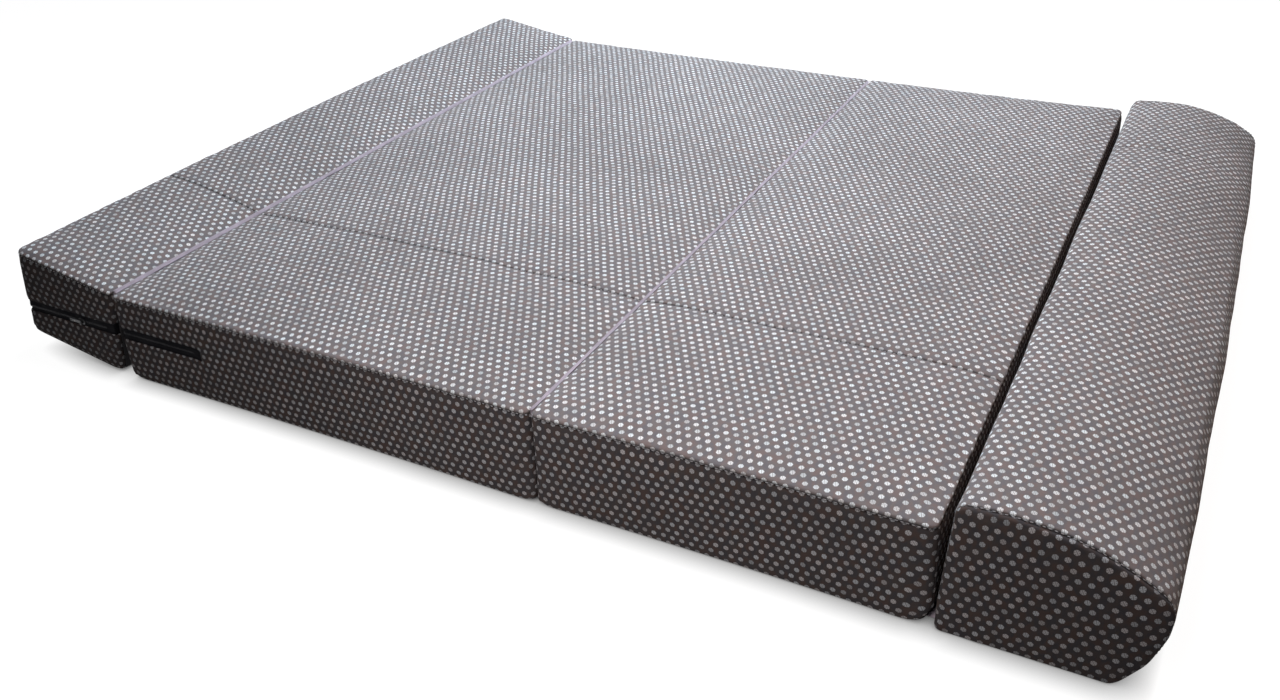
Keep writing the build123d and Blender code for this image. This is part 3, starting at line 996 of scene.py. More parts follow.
@dataclass(frozen=True)
class Settling:
    """How a used block sits: the lift of its top at its four corners, and its fuller outer side."""

    near_start: float = 0.0
    far_start: float = 0.0
    near_end: float = 0.0
    far_end: float = 0.0
    start_bow: float = 0.0
    near_push: float = 0.0
    far_push: float = 0.0
    push_bow: float = 0.0
    still: float = 0.105

    def move(self, points: np.ndarray, start: float, end: float, height: float) -> np.ndarray:
        """Moves a block's points.

        Args:
            points: the points.
            start: where the block starts along the bed.
            end: where it ends.
            height: its height.

        Returns:
            The moved points.
        """
        along = ((points[:, 0] - start) / (end - start)).clip(0, 1)
        across = (points[:, 1] / (2 * HALF_WIDTH) + 0.5).clip(0, 1)
        middle = 4 * across * (1 - across)
        first = self.near_start + (self.far_start - self.near_start) * across + self.start_bow * middle
        last = self.near_end + (self.far_end - self.near_end) * across
        up = ((points[:, 2] - self.still) / (height - self.still)).clip(0, 1)
        push = self.near_push + (self.far_push - self.near_push) * across + self.push_bow * middle
        moved = points.copy()
        moved[:, 2] += (first + (last - first) * along) * up
        moved[:, 0] += push * along**2
        return moved


@dataclass
class FlatBlock(Cover):
    """A flat block: crowned top, long sides drawn in, every edge rounded."""

    start: float = 0.0
    end: float = 1.0
    left_radius: float = 0.009
    right_radius: float = 0.009
    draw: float = 0.003
    height: float = 0.1665
    rise: float = 0.0065
    top_radius: float = 0.0045
    bottom_radius: float = 0.006
    seam_drop: float = 0.0022
    crown_share: float = 0.22
    step: float = 0.016
    zip_end: float = -9.0
    corner_lift: float = 0.006
    corner_reach: float = 0.014
    settling: Settling = Settling()
    end_bulge: float = 0.0
    start_room: float = 0.01
    end_room: float = 0.0125

    def __post_init__(self) -> None:
        """Works the form out from the sizes."""
        outline, outward, counts = self.outline()
        profile = self.profile()
        self.row_heights = np.array([height for _, height in profile])
        high = int(np.argmin(np.abs(self.row_heights - self.top_seam)))
        self.seams = (0, high)
        rings = [
            np.column_stack([outline - outward * inset, self.level(outline[:, 0], height)])
            for inset, height in profile
        ]
        gaps = np.linalg.norm(np.diff(outline, axis=0), axis=1)
        along = np.concatenate([[0], np.cumsum(gaps)])
        self.form = Form(np.array(rings), outward, counts, along, (0, 1))
        self.crown()

    @property
    def top_seam(self) -> float:
        """The height of the seam round the top."""
        return self.height - self.top_radius - self.seam_drop

    def outline(self) -> tuple:
        """The plan's points, their outward ways and the counts of its sides."""
        left, right = self.left_radius, self.right_radius
        across = spread(self.start + left, self.end - right, self.step, (self.zip_end,))
        inner = spread(-INNER_Y, INNER_Y, self.step, beside(SEAM_Y))
        points, ways = [], []
        corners = {
            0: (self.start + left, -HALF_WIDTH + left, left),
            1: (self.end - right, -HALF_WIDTH + right, right),
            2: (self.end - right, HALF_WIDTH - right, right),
            3: (self.start + left, HALF_WIDTH - left, left),
        }
        for side in range(4):
            radius = corners[side][2]
            edge = HALF_WIDTH - radius
            border = BORDER_Y if radius < HALF_WIDTH - BORDER_Y else (edge + INNER_Y) / 2
            deep = [-edge, -border, *inner, border, edge]
            facing = math.radians(270 + 90 * side)
            way = (math.cos(facing), math.sin(facing))
            straight = {
                0: [(x, -HALF_WIDTH) for x in across],
                1: [(self.end, y) for y in deep],
                2: [(x, HALF_WIDTH) for x in reversed(across)],
                3: [(self.start, y) for y in reversed(deep)],
            }[side]
            for corner, turns in ((side, (-45, -22.5)), ((side + 1) % 4, (22.5,))):
                x, y, round_ = corners[corner]
                bent = [facing + math.radians(turn) for turn in turns]
                arcs = [(x + round_ * math.cos(a), y + round_ * math.sin(a)) for a in bent]
                points += arcs
                ways += [(math.cos(a), math.sin(a)) for a in bent]
                if corner == side:
                    points += straight
                    ways += [way] * len(straight)
            if side == 0:
                first = len(points)
        points, ways = np.array(points), np.array(ways)
        middle, half = (self.start + self.end) / 2, (self.end - self.start) / 2
        bow = self.draw * (1 - ((points[:, 0] - middle) / half) ** 2)
        points[:, 1] -= np.sign(points[:, 1]) * bow * (np.abs(points[:, 1]) > BORDER_LIMIT)
        return points, ways, (first, len(points) // 2 - first)

    def profile(self) -> list[Pair]:
        """The inset and height of each ring, from the floor to the top edge."""
        low = arc(self.bottom_radius)
        top = [(inset, self.height - height) for inset, height in reversed(arc(self.top_radius))]
        seam = self.top_seam
        halves = (-ZIP_HALF, -TAPE_HALF, -COIL_HALF, 0, COIL_HALF, TAPE_HALF, ZIP_HALF)
        marks = (LOW_ROW, *(ZIP_HEIGHT + half for half in halves), seam - 0.006, seam - 0.0025)
        rows = spread(LOW_SEAM, seam, self.step, marks)
        return low + [(0.0, height) for height in rows] + top

    def place(self, points: np.ndarray) -> np.ndarray:
        """Lets the block settle: its top lies a little higher or lower at each corner."""
        return self.turn(self.settling.move(points, self.start, self.end, self.height))

    def turn(self, points: np.ndarray) -> np.ndarray:
        """Turns points about the block's hinge. Only the foot block lies turned."""
        return points

    def flatten(self, piece: bpy.types.Object, joint: str, height: float, keep: float) -> None:
        """Gives a soft piece a mesh of its own; it is not pressed flat here.

        Args:
            piece: the piece.
            joint: the joint's name; not used.
            height: the height that it would flatten towards; not used.
            keep: the share of its thickness that would be left; not used.
        """
        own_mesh(piece)

    def level(self, x: np.ndarray, height: float) -> np.ndarray:
        """The height of a ring at each x."""
        return np.full(len(x), height)

    def crown(self) -> None:
        """Lifts the top towards its middle, and notes each point's way from the seam."""
        form = self.form
        points = form.points
        climb = form.climb()
        rings = form.levels * form.columns
        reach = np.minimum.reduce(
            [
                points[:, 0] - self.start - self.top_radius,
                self.end - self.top_radius - points[:, 0],
                points[:, 1] + HALF_WIDTH - self.top_radius,
                HALF_WIDTH - self.top_radius - points[:, 1],
            ]
        ).clip(0)
        top = np.arange(len(points)) >= rings
        top &= points[:, 2] > LOW_SEAM
        run = (self.end - self.start) * self.crown_share
        points[top, 2] += self.rise * (1 - (1 - (reach[top] / run).clip(0, 1)) ** 2.2)
        self.edge = np.full(len(points), -1.0)
        self.edge[:rings] = (climb - climb[self.seams[1]]).ravel()
        self.edge[top] = (climb[-1] - climb[self.seams[1]]).mean() + reach[top]

    def mark(self, faces: np.ndarray, marks: np.ndarray) -> np.ndarray:
        """The panel of each face."""
        centre = self.form.points[faces].mean(1)
        walls = np.where(centre[:, 0] < (self.start + self.end) / 2, Panel.START_WALL, Panel.END_WALL)
        found = np.where(centre[:, 1] < -BORDER_LIMIT, Panel.NEAR, walls)
        found = np.where(centre[:, 1] > BORDER_LIMIT, Panel.FAR, found)
        rows = (self.row_heights[:-1] + self.row_heights[1:])[marks.clip(0, len(self.row_heights) - 2)] / 2
        found = self.mark_border(found, rows, centre)
        low = (marks == -1) | ((marks >= 0) & (marks < self.seams[0]))
        high = (marks == -2) | (marks >= self.seams[1])
        top = np.where(centre[:, 1] > SEAM_Y, Panel.TOP_PANEL, Panel.TOP_STRIP)
        return np.where(low, Panel.UNDERSIDE, np.where(high, top, found))

    def mark_border(self, found: np.ndarray, rows: np.ndarray, centre: np.ndarray) -> np.ndarray:
        """Marks the slot of the zip in the long borders."""
        slot = (np.abs(rows - ZIP_HEIGHT) < ZIP_HALF) & (centre[:, 0] < self.zip_end)
        slot &= np.isin(found, [Panel.NEAR, Panel.FAR])
        coil = np.abs(rows - ZIP_HEIGHT) < COIL_HALF
        tape = np.where(rows > ZIP_HEIGHT, Panel.ZIP_UPPER, Panel.ZIP_LOWER)
        return np.where(slot, np.where(coil, Panel.ZIP_COIL, tape), found)

    def resting(self, rest: np.ndarray) -> np.ndarray:
        """Which points keep their place: those on the floor and those of the zip."""
        side = (np.abs(rest[:, 1]) > BORDER_LIMIT) | (rest[:, 0] < self.start + self.left_radius)
        band = np.abs(rest[:, 2] - ZIP_HEIGHT - self.zip_shift(rest[:, 0])) < ZIP_HALF + 0.001
        return super().resting(rest) | (side & band & (rest[:, 0] < self.zip_end))

    def zip_shift(self, x: np.ndarray) -> np.ndarray:
        """How far the zip's line lies above its own height."""
        return np.zeros(len(x))

    def line_depth(self, rest: np.ndarray) -> np.ndarray:
        """How deep each point lies in the lengthwise seam of the top."""
        line = np.exp(-(((rest[:, 1] - SEAM_Y) / self.groove_width) ** 2))
        return line * (rest[:, 2] > self.top_seam)

    def lift_corners(self, points: np.ndarray, rest: np.ndarray) -> np.ndarray:
        """Rounds the four lower corners up from the floor."""
        across = np.minimum(np.abs(rest[:, 0] - self.start), np.abs(rest[:, 0] - self.end))
        away = np.hypot(across, HALF_WIDTH - np.abs(rest[:, 1]))
        low = (1 - rest[:, 2] / 0.035).clip(0, 1) ** 2
        points[:, 2] += self.corner_lift * low * np.exp(-((away / self.corner_reach) ** 2))
        return points

    def shape_more(self, points: np.ndarray, rest: np.ndarray, out: np.ndarray) -> np.ndarray:
        """Lifts the lower corners, fills the outer wall out and keeps the hinge walls back."""
        points = self.lift_corners(points, rest)
        up = rest[:, 2] / self.height
        full = np.interp(up, [0.0, 0.04, 0.16, 0.4, 0.7, 1.0], [0.0, 0.35, 1.0, 0.95, 0.75, 0.65])
        wall = ((rest[:, 0] - self.end + 0.03) / 0.03).clip(0, 1)
        points[:, 0] += self.end_bulge * full * wall
        points[:, 0] = points[:, 0].clip(self.start - self.start_room, self.end + self.end_room)
        return points

    def seam_path(self, sides: tuple, sink: float) -> list[np.ndarray]:
        """The top seam's line along some sides of the block, numbered from the near one on."""
        return [self.ring_line(self.seams[1], side, sink) for side in sides]

    def zip_level(self) -> int:
        """The ring on which the zip's coil lies."""
        return int(np.argmin(np.abs(self.row_heights - ZIP_HEIGHT)))

    def ring_line(self, level: int, side: int, sink: float) -> np.ndarray:
        """One side of a ring, sunk into the form and put in its place."""
        form = self.form
        inner = form.rings[level].copy()
        inner[:, :2] -= form.outward * sink
        return self.place(form.sides(inner)[side])

    def top_seam_path(self, sink: float) -> np.ndarray:
        """The lengthwise seam's line over the top."""
        form = self.form
        grid = form.grids[1]
        row = int(np.argmin(np.abs(form.points[grid[len(grid) // 2], 1] - SEAM_Y)))
        line = form.points[grid[:, row]].copy()
        line[:, 2] -= sink
        return self.place(line)


@dataclass
class FootForm(FlatBlock):
    """The foot block's form: made flat, then raised at its outer end about its hinge."""

    lift: float = math.radians(9.4)
    hinge_x: float = -0.4205
    recess: float = 0.002
    foam_room: float = 0.003

    def turn(self, points: np.ndarray) -> np.ndarray:
        """Turns points about the foot hinge."""
        x, z = points[:, 0] - self.hinge_x, points[:, 2] - HINGE_HEIGHT
        cosine, sine = math.cos(self.lift), math.sin(self.lift)
        turned = self.hinge_x + x * cosine + z * sine
        return np.column_stack([turned, points[:, 1], HINGE_HEIGHT - x * sine + z * cosine])

    def zip_shift(self, x: np.ndarray) -> np.ndarray:
        """How far the zip's line lies above its own height in the flat form, so that it ends up level."""
        drop = (ZIP_HEIGHT - HINGE_HEIGHT + (x - self.hinge_x) * math.sin(self.lift)) / math.cos(self.lift)
        return HINGE_HEIGHT + drop - ZIP_HEIGHT

    def level(self, x: np.ndarray, height: float) -> np.ndarray:
        """The height of a ring at each x: those of the zip slant."""
        low, high = LOW_ROW, self.top_seam - 0.006
        bottom, top = ZIP_HEIGHT - ZIP_HALF, ZIP_HEIGHT + ZIP_HALF
        share = np.interp(height, [low, bottom, top, high], [0, 1, 1, 0])
        return height + self.zip_shift(x) * share

    def mark_border(self, found: np.ndarray, rows: np.ndarray, centre: np.ndarray) -> np.ndarray:
        """Marks the borders above and below the zip, and its slot."""
        upper, away = rows > ZIP_HEIGHT, np.abs(rows - ZIP_HEIGHT)
        slot = np.where(upper, Panel.ZIP_UPPER, Panel.ZIP_LOWER)
        slot = np.where(away < COIL_HALF, Panel.ZIP_COIL, slot)
        part = np.where(upper, Panel.UPPER_BORDER, Panel.LOWER_BORDER)
        part = np.where(away < ZIP_HALF, slot, part)
        round_ = np.isin(found, [Panel.NEAR, Panel.FAR, Panel.START_WALL])
        return np.where(round_, part, found)

    def shape_more(self, points: np.ndarray, rest: np.ndarray, out: np.ndarray) -> np.ndarray:
        """Sets the lower border back under the zip."""
        points = super().shape_more(points, rest, out)
        below = (ZIP_HEIGHT + self.zip_shift(rest[:, 0]) - rest[:, 2] + 0.002) / 0.006
        inner = (rest[:, 0] < self.end - 0.003) & (rest[:, 2] > 0.001)
        return points - out * (self.recess * below.clip(0, 1) * inner)[:, None]


@dataclass
class BackForm(Cover):
    """The back block's form: a profile with a falling top and a round outer end."""

    name: str = "back"
    seed: int = 41
    start: float = 1.019
    flat: float = 0.062
    slope_run: float = 0.178
    slope_drop: float = 0.053
    height: float = 0.2085
    lean: float = 0.008
    nose: float = 0.038
    heel_run: float = 0.046
    root_top: float = 0.019
    root_bottom: float = 0.012
    heel_corner: float = 0.011
    end_radius: float = 0.0055
    seam_inset: float = 0.0075
    wrap_seam: float = 0.490
    step: float = 0.016
    underside_height: float = 0.0135
    wall_height: float = 0.1925
    end_fullness: float = 0.002
    root_bulge: float = 0.0012
    root_room: float = 0.0015
    settling: Settling = Settling(
        far_start=-0.010, far_end=0.006, near_push=0.003, far_push=0.006, push_bow=0.010, still=0.02
    )

    def __post_init__(self) -> None:
        """Works the form out from the sizes."""
        outline, outward, counts = self.outline()
        profile = self.profile()
        places = np.array([y for _, y in profile])
        last = HALF_WIDTH - self.seam_inset
        self.seams = (int(np.argmin(np.abs(places - last))), int(np.argmin(np.abs(places + last))))
        rings = []
        for inset, y in profile:
            ring = outline - outward * inset
            rings.append(np.column_stack([ring[:, 0], np.full(len(ring), y), ring[:, 1]]))
        gaps = np.linalg.norm(np.diff(outline, axis=0), axis=1)
        along = np.concatenate([[0], np.cumsum(gaps)])
        self.form = Form(np.array(rings), outward, counts, along, (0, 2))
        points = self.form.points
        ends = np.arange(len(points)) >= self.form.levels * self.form.columns
        self.edge = last - np.abs(points[:, 1])
        middle = np.array([self.start + 0.13, 0.1])
        away = np.hypot((points[:, 0] - middle[0]) / 0.12, (points[:, 2] - middle[1]) / 0.1)
        self.edge[ends] -= 0.1 * (1 - away[ends]).clip(0, 1)
        full = self.end_fullness * (1 - away[ends].clip(0, 1) ** 2)
        points[ends, 1] += np.sign(points[ends, 1]) * full

    def place(self, points: np.ndarray) -> np.ndarray:
        """Lets the block settle, with its round outer end pushed out."""
        return self.settling.move(points, self.start, self.start + 0.2652, self.height)

    def chains(self) -> list[np.ndarray]:
        """The underside, the outer run from the heel to the shoulder, and the root wall."""
        slope = 2 * math.atan(self.slope_drop / self.slope_run)
        radius = self.slope_run / math.sin(slope)
        crest = np.array([self.lean + self.flat, self.height])
        fall = crest + (self.slope_run, -self.slope_drop)
        hub = fall - self.nose * np.array([math.sin(slope), math.cos(slope)])
        tip = hub + (self.nose, 0)
        heel_radius = (tip[1] ** 2 + self.heel_run**2) / (2 * self.heel_run)
        low_turn = -math.asin(tip[1] / heel_radius)

        def bend(centre, size: float, first: float, last: float) -> np.ndarray:
            """Points on an arc."""
            turns = np.linspace(first, last, 60)[:, None]
            return np.asarray(centre) + size * np.hstack([np.cos(turns), np.sin(turns)])

        outer = [
            bend(tip - (heel_radius, 0), heel_radius, low_turn, 0),
            bend(hub, self.nose, 0, math.pi / 2 - slope)[1:],
            bend(crest - (0, radius), radius, math.pi / 2 - slope, math.pi / 2)[1:],
            np.array([[self.lean, self.height]]),
        ]
        outer = np.vstack(outer)
        root, shoulder, heel = np.zeros(2), outer[-1], outer[0]
        return [np.array([root, heel]), outer, np.array([shoulder, root])]

    def outline(self) -> tuple:
        """The profile's points, their outward ways and the counts of its sides."""
        chains = self.chains()
        cuts = [self.root_bottom, self.heel_corner, self.root_top]
        pieces = []
        for k, chain in enumerate(chains):
            size = np.concatenate([[0], np.cumsum(np.linalg.norm(np.diff(chain, axis=0), axis=1))])
            places = np.linspace(cuts[k], size[-1] - cuts[(k + 1) % 3], 240)
            pieces.append(np.column_stack([np.interp(places, size, chain[:, a]) for a in (0, 1)]))
        rounds = []
        for k in range(3):
            corner, before, after = chains[k][0], pieces[k - 1][-1], pieces[k][0]
            t = np.linspace(0, 1, 41)[:, None]
            rounds.append((1 - t) ** 2 * before + 2 * t * (1 - t) * corner + t**2 * after)
        nose = int(np.argmax(pieces[1] @ np.array([1.0, 1.0])))
        sides = [
            np.vstack([rounds[0][20:], pieces[0], rounds[1][:21]]),
            np.vstack([rounds[1][20:], pieces[1][: nose + 1]]),
            np.vstack([pieces[1][nose:], rounds[2][:21]]),
            np.vstack([rounds[2][20:], pieces[2], rounds[0][:21]]),
        ]
        points, counts = [], []
        for k, side in enumerate(sides):
            side = side[np.concatenate([[True], np.linalg.norm(np.diff(side, axis=0), axis=1) > 1e-7])]
            size = np.concatenate([[0], np.cumsum(np.linalg.norm(np.diff(side, axis=0), axis=1))])
            places = self.side_places(k, side, size)
            points.append(np.column_stack([np.interp(places, size, side[:, a]) for a in (0, 1)])[:-1])
            counts.append(len(points[-1]))
        points = np.vstack(points)
        way = np.roll(points, -1, 0) - np.roll(points, 1, 0)
        way = np.column_stack([way[:, 1], -way[:, 0]])
        way /= np.linalg.norm(way, axis=1)[:, None]
        return points + (self.start, 0), way, (counts[0], counts[1])

    def side_places(self, number: int, side: np.ndarray, size: np.ndarray) -> np.ndarray:
        """Where the points of one side of the profile lie along it."""
        def parts(stops: list, counts: list) -> np.ndarray:
            """Even steps between stops."""
            runs = [np.linspace(a, b, n + 1)[:-1] for a, b, n in zip(stops, stops[1:], counts)]
            return np.concatenate([*runs, stops[-1:]])

        def first_at(height: float) -> float:
            """The way along the side to a height."""
            return float(size[np.argmin(np.abs(side[:, 1] - height))])

        length = size[-1]
        if number in (0, 2):
            return parts([0, 0.011, length - 0.011, length], [3, 15, 3])
        if number == 1:
            return parts([0, first_at(self.underside_height), length], [3, 18])
        return parts(
            [0, first_at(self.wall_height), first_at(self.underside_height), length], [4, 14, 3]
        )

    def profile(self) -> list[Pair]:
        """The inset and place across the bed of each ring, from the far end to the near one."""
        far = [(inset, HALF_WIDTH - way) for inset, way in arc(self.end_radius)]
        near = [(inset, -y) for inset, y in reversed(far)]
        last = HALF_WIDTH - self.seam_inset
        rims = tuple(s * (last - w) for s in (-1, 1) for w in (0.0025, 0.0065))
        marks = beside(self.wrap_seam) + rims
        rows = [(0.0, y) for y in reversed(spread(-last, last, self.step, marks))]
        return far + rows + near

    def mark(self, faces: np.ndarray, marks: np.ndarray) -> np.ndarray:
        """The panel of each face."""
        centre = self.form.points[faces].mean(1)
        wall = (centre[:, 0] < self.start + 0.022) & (centre[:, 2] < self.wall_height)
        found = np.where(centre[:, 1] < self.wrap_seam, Panel.TOP_PANEL, Panel.TOP_STRIP)
        found = np.where(wall, Panel.START_WALL, found)
        found = np.where(centre[:, 2] < self.underside_height, Panel.UNDERSIDE, found)
        far = (marks == -1) | ((marks >= 0) & (marks < self.seams[0]))
        near = (marks == -2) | (marks >= self.seams[1])
        return np.where(far, Panel.FAR, np.where(near, Panel.NEAR, found))

    def resting(self, rest: np.ndarray) -> np.ndarray:
        """Which points lie on the floor."""
        return rest[:, 2] < 0.002

    def line_depth(self, rest: np.ndarray) -> np.ndarray:
        """How deep each point lies in the seam across the wrap."""
        line = np.exp(-(((rest[:, 1] - self.wrap_seam) / self.groove_width) ** 2))
        return line * (rest[:, 0] > self.start + 0.005)

    def shape_more(self, points: np.ndarray, rest: np.ndarray, out: np.ndarray) -> np.ndarray:
        """Rounds the root wall out towards the seat block."""
        full = np.sin(math.pi * (rest[:, 2] / self.height).clip(0, 1) ** 0.8)
        wall = (1 - (rest[:, 0] - self.start) / 0.04).clip(0, 1)
        points[:, 0] -= self.root_bulge * full * wall
        root = out[:, 0] < -0.5
        points[root, 0] = np.maximum(points[root, 0], rest[root, 0] - self.root_room)
        return points

    def end_seam_path(self, near: bool, sink: float) -> np.ndarray:
        """The line of an end panel's seam, from the heel over the top to the shoulder."""
        return self.ring_line(self.seams[1] if near else self.seams[0], sink)

    def wrap_seam_path(self, sink: float) -> np.ndarray:
        """The line of the seam across the wrap."""
        level = int(np.argmin(np.abs(self.form.rings[:, 0, 1] - self.wrap_seam)))
        return self.ring_line(level, sink)

    def ring_line(self, level: int, sink: float) -> np.ndarray:
        """A ring's outer and top sides, sunk into the form."""
        form = self.form
        inner = form.rings[level].copy()
        inner[:, [0, 2]] -= form.outward * sink
        across, deep = form.counts
        return self.place(inner[across + 2 : 2 * across + deep])


# ---- what repeats along a line


@dataclass(frozen=True)
class Beads:
    """Small rounded pieces set along a line: sewing stitches, or the loops of a zip's coil.

    The tree is made once and is fed each run's own sizes.
    """

    pitch: float
    along: float
    aside: float
    up: float
    tilt: float = 0.0
    jitter: float = 0.08
    seed: int = 3

    def tree(self) -> bpy.types.NodeTree:
        """The Geometry Nodes tree that sets the pieces out."""
        known = bpy.data.node_groups.get("beads_along_a_line")
        if known:
            return known
        tree = bpy.data.node_groups.new("beads_along_a_line", "GeometryNodeTree")
        face = tree.interface
        face.new_socket(name="Path", in_out="INPUT", socket_type="NodeSocketGeometry")
        for name in ("Pitch", "Along", "Aside", "Up", "Tilt", "Jitter"):
            face.new_socket(name=name, in_out="INPUT", socket_type="NodeSocketFloat")
        face.new_socket(name="Seed", in_out="INPUT", socket_type="NodeSocketInt")
        face.new_socket(name="Finish", in_out="INPUT", socket_type="NodeSocketMaterial")
        face.new_socket(name="Beads", in_out="OUTPUT", socket_type="NodeSocketGeometry")

        def add(kind: str, inputs: dict, **settings) -> bpy.types.NodeSocket:
            """Adds a node and gives its first output."""
            return add_node(tree, kind, inputs, **settings).outputs[0]

        def number(operation: str, *terms) -> bpy.types.NodeSocket:
            """One sum of up to three numbers."""
            return add("ShaderNodeMath", dict(enumerate(terms)), operation=operation)

        given = tree.nodes.new("NodeGroupInput").outputs
        line = add("GeometryNodeMeshToCurve", {0: given["Path"]})
        even = add("GeometryNodeResampleCurve", {"Curve": line, "Length": given["Pitch"]}, mode="LENGTH")
        size = add("ShaderNodeCombineXYZ", {0: given["Along"], 1: given["Aside"], 2: given["Up"]})
        ball = add("GeometryNodeMeshUVSphere", {"Segments": 6, "Rings": 4, "Radius": 1.0})
        bead = add("GeometryNodeTransform", {"Geometry": ball, "Scale": size})
        tangent = add("GeometryNodeInputTangent", {})
        turned = add("FunctionNodeAlignRotationToVector", {"Vector": tangent}, axis="X")
        sky = {"Rotation": turned, "Vector": (0.0, 0.0, 1.0)}
        upright = add("FunctionNodeAlignRotationToVector", sky, axis="Z", pivot_axis="X")
        odd = number("MODULO", add("GeometryNodeInputIndex", {}), 2.0)
        lean = number("MULTIPLY", number("MULTIPLY_ADD", odd, 2.0, -1.0), given["Tilt"])
        chance = add_node(tree, "FunctionNodeRandomValue", {"Min": -1.0, "Max": 1.0, "Seed": given["Seed"]})
        loose = number("MULTIPLY_ADD", chance.outputs[1], given["Jitter"], lean)
        spin = add("FunctionNodeEulerToRotation", {0: add("ShaderNodeCombineXYZ", {1: loose, 2: loose})})
        rotation = add("FunctionNodeRotateRotation", {0: upright, 1: spin}, rotation_space="LOCAL")
        places = {"Points": even, "Instance": bead, "Rotation": rotation}
        real = add("GeometryNodeRealizeInstances", {0: add("GeometryNodeInstanceOnPoints", places)})
        done = add("GeometryNodeSetMaterial", {"Geometry": real, "Material": given["Finish"]})
        add_node(tree, "NodeGroupOutput", {0: done})
        return tree

    def piece(self, name: str, lines: list[np.ndarray], finish) -> bpy.types.Object:
        """Sets the pieces along some lines and bakes them to one mesh.

        Args:
            name: the piece's name.
            lines: the lines as rows of points.
            finish: the pieces' finish.

        Returns:
            The mesh object.
        """
        edges, first = [], 0
        for line in lines:
            edges += [(first + k, first + k + 1) for k in range(len(line) - 1)]
            first += len(line)
        path = new_object(name + "_path", np.vstack(lines), [], edges)
        tree = self.tree()
        modifier = path.modifiers.new("Beads", "NODES")
        modifier.node_group = tree
        given = {
            "Pitch": self.pitch,
            "Along": self.along,
            "Aside": self.aside,
            "Up": self.up,
            "Tilt": self.tilt,
            "Jitter": self.jitter,
            "Seed": self.seed,
            "Finish": FINISHES.get(finish),
        }
        for item in tree.interface.items_tree:
            if item.name in given:
                modifier[item.identifier] = given[item.name]
        bpy.context.view_layer.update()
        return bake(path, name)


SEAM_STITCH = Beads(pitch=0.0072, along=0.0024, aside=0.0006, up=0.0006, seed=5)
COIL_LOOP = Beads(pitch=0.0016, along=0.00055, aside=0.0009, up=0.0028, tilt=0.14, jitter=0.02, seed=9)


def strip(
    name: str, profile: list[Pair], reach: float, thickness: float, far_lift: float = 0.0, waver: float = 0.0
) -> bpy.types.Object:
    """A hinge tape across the bed, with a cross-section given in x and z.

    Args:
        name: the piece's name.
        profile: the points of its cross-section.
        reach: how far it goes to each side.
        thickness: its thickness, laid under the profile.
        far_lift: how much higher it lies at its far end.
        waver: how far its edges wander in and out.

    Returns:
        The tape, with its walls made.
    """
    rows = np.array(spread(-reach, reach, 0.006 if waver else 0.02))
    line = np.array(profile)
    points = np.array([(x, y, z) for y in rows for x, z in line])
    across = points * (0.0, 1.0, 0.0)
    middle = line[:, 0].mean()
    half = (line[-1, 0] - line[0, 0]) / 2
    broad = 1 + waver / half * Waves(79, 0.018, 0.07).at(across)
    points[:, 0] = middle + (points[:, 0] - middle) * broad + waver * Waves(78, 0.05, 0.2).at(across)
    points[:, 2] += Waves(77, 0.05, 0.12).at(across) * 0.0002
    points[:, 2] += far_lift * (points[:, 1] / (2 * HALF_WIDTH) + 0.5)
    numbers = np.arange(len(points)).reshape(len(rows), len(line))
    low, high = numbers[:-1], numbers[1:]
    faces = np.stack([low[:, :-1], low[:, 1:], high[:, 1:], high[:, :-1]], -1).reshape(-1, 4)
    thing = new_object(name, points, faces)
    thicken(thing, thickness)
    tape = bake(thing, name)
    tape.data.materials.append(FINISHES.get(FINISH_OF[Slot.HINGE_TAPE]))
    return tape


# ---- sub-assemblies


@dataclass
class Upholstery:
    """One block: its foam, its cover cut into panels, its hinge webs and its stitches.

    Each cut is a row with the piece's name, its panel, its slot and the node that it replaces,
    and each web is one with the piece's name, the way it faces and its node.
    """

    body: Body
    block: Cover
    foam: str
    cuts: tuple
    webs: tuple = ()
    joint: str = ""

    def build(self) -> None:
        """Builds the block's pieces."""
        block = self.block
        block.build()
        self.press(block.foam(self.foam, self.body, block.name + "_core"), FOAM_FLOOR, FOAM_KEEP)
        for name, panel, slot, node in self.cuts:
            piece = hand_over(block.cut(name, (panel,)), self.body, slot, (node,))
            self.give_way(piece, panel)
        for name, way, node in self.webs:
            hand_over(block.web(name, way), self.body, Slot.HINGE_TAPE, (node,))
        self.build_zip()
        stitches = SEAM_STITCH.piece(block.name + "_stitches", self.seams(), PALE_THREAD)
        hand_over(stitches, self.body, Slot.BORDER)
        self.press(stitches)

    def press(
        self, piece: bpy.types.Object, height: float = PRESSED_HEIGHT, keep: float = PRESSED_KEEP
    ) -> None:
        """Hands a piece to the block's flatten if this block has a joint; that gives the piece a mesh of its
        own.
        """
        if self.joint:
            self.block.flatten(piece, self.joint, height, keep)

    def give_way(self, piece: bpy.types.Object, panel: Panel) -> None:
        """Hands the top panels to press, which gives them meshes of their own where the block has a joint.
        """
        if panel in (Panel.TOP_PANEL, Panel.TOP_STRIP):
            self.press(piece)

    def build_tapes(self, tapes: tuple) -> None:
        """Cuts the zip's tapes, each a row with its name, its panels and its node."""
        for name, panels, node in tapes:
            tape = self.block.cut(name, panels, TAPE_SINK, TAPE_THICKNESS)
            hand_over(tape, self.body, Slot.ZIP_TAPE, (node,))

    def build_coil(self, lines: list[np.ndarray]) -> None:
        """Sets the zip's coil out along its lines."""
        name = self.block.name
        coil = COIL_LOOP.piece(name + "_zip_coil", lines, NylonCoil())
        hand_over(coil, self.body, Slot.ZIP_TEETH, (name + "_zip_chain",))

    def build_zip(self) -> None:
        """Builds this block's stretch of the zip, if it has one."""

    def seams(self) -> list[np.ndarray]:
        """The lines of the stitched seams. Each block has its own."""
        raise NotImplementedError


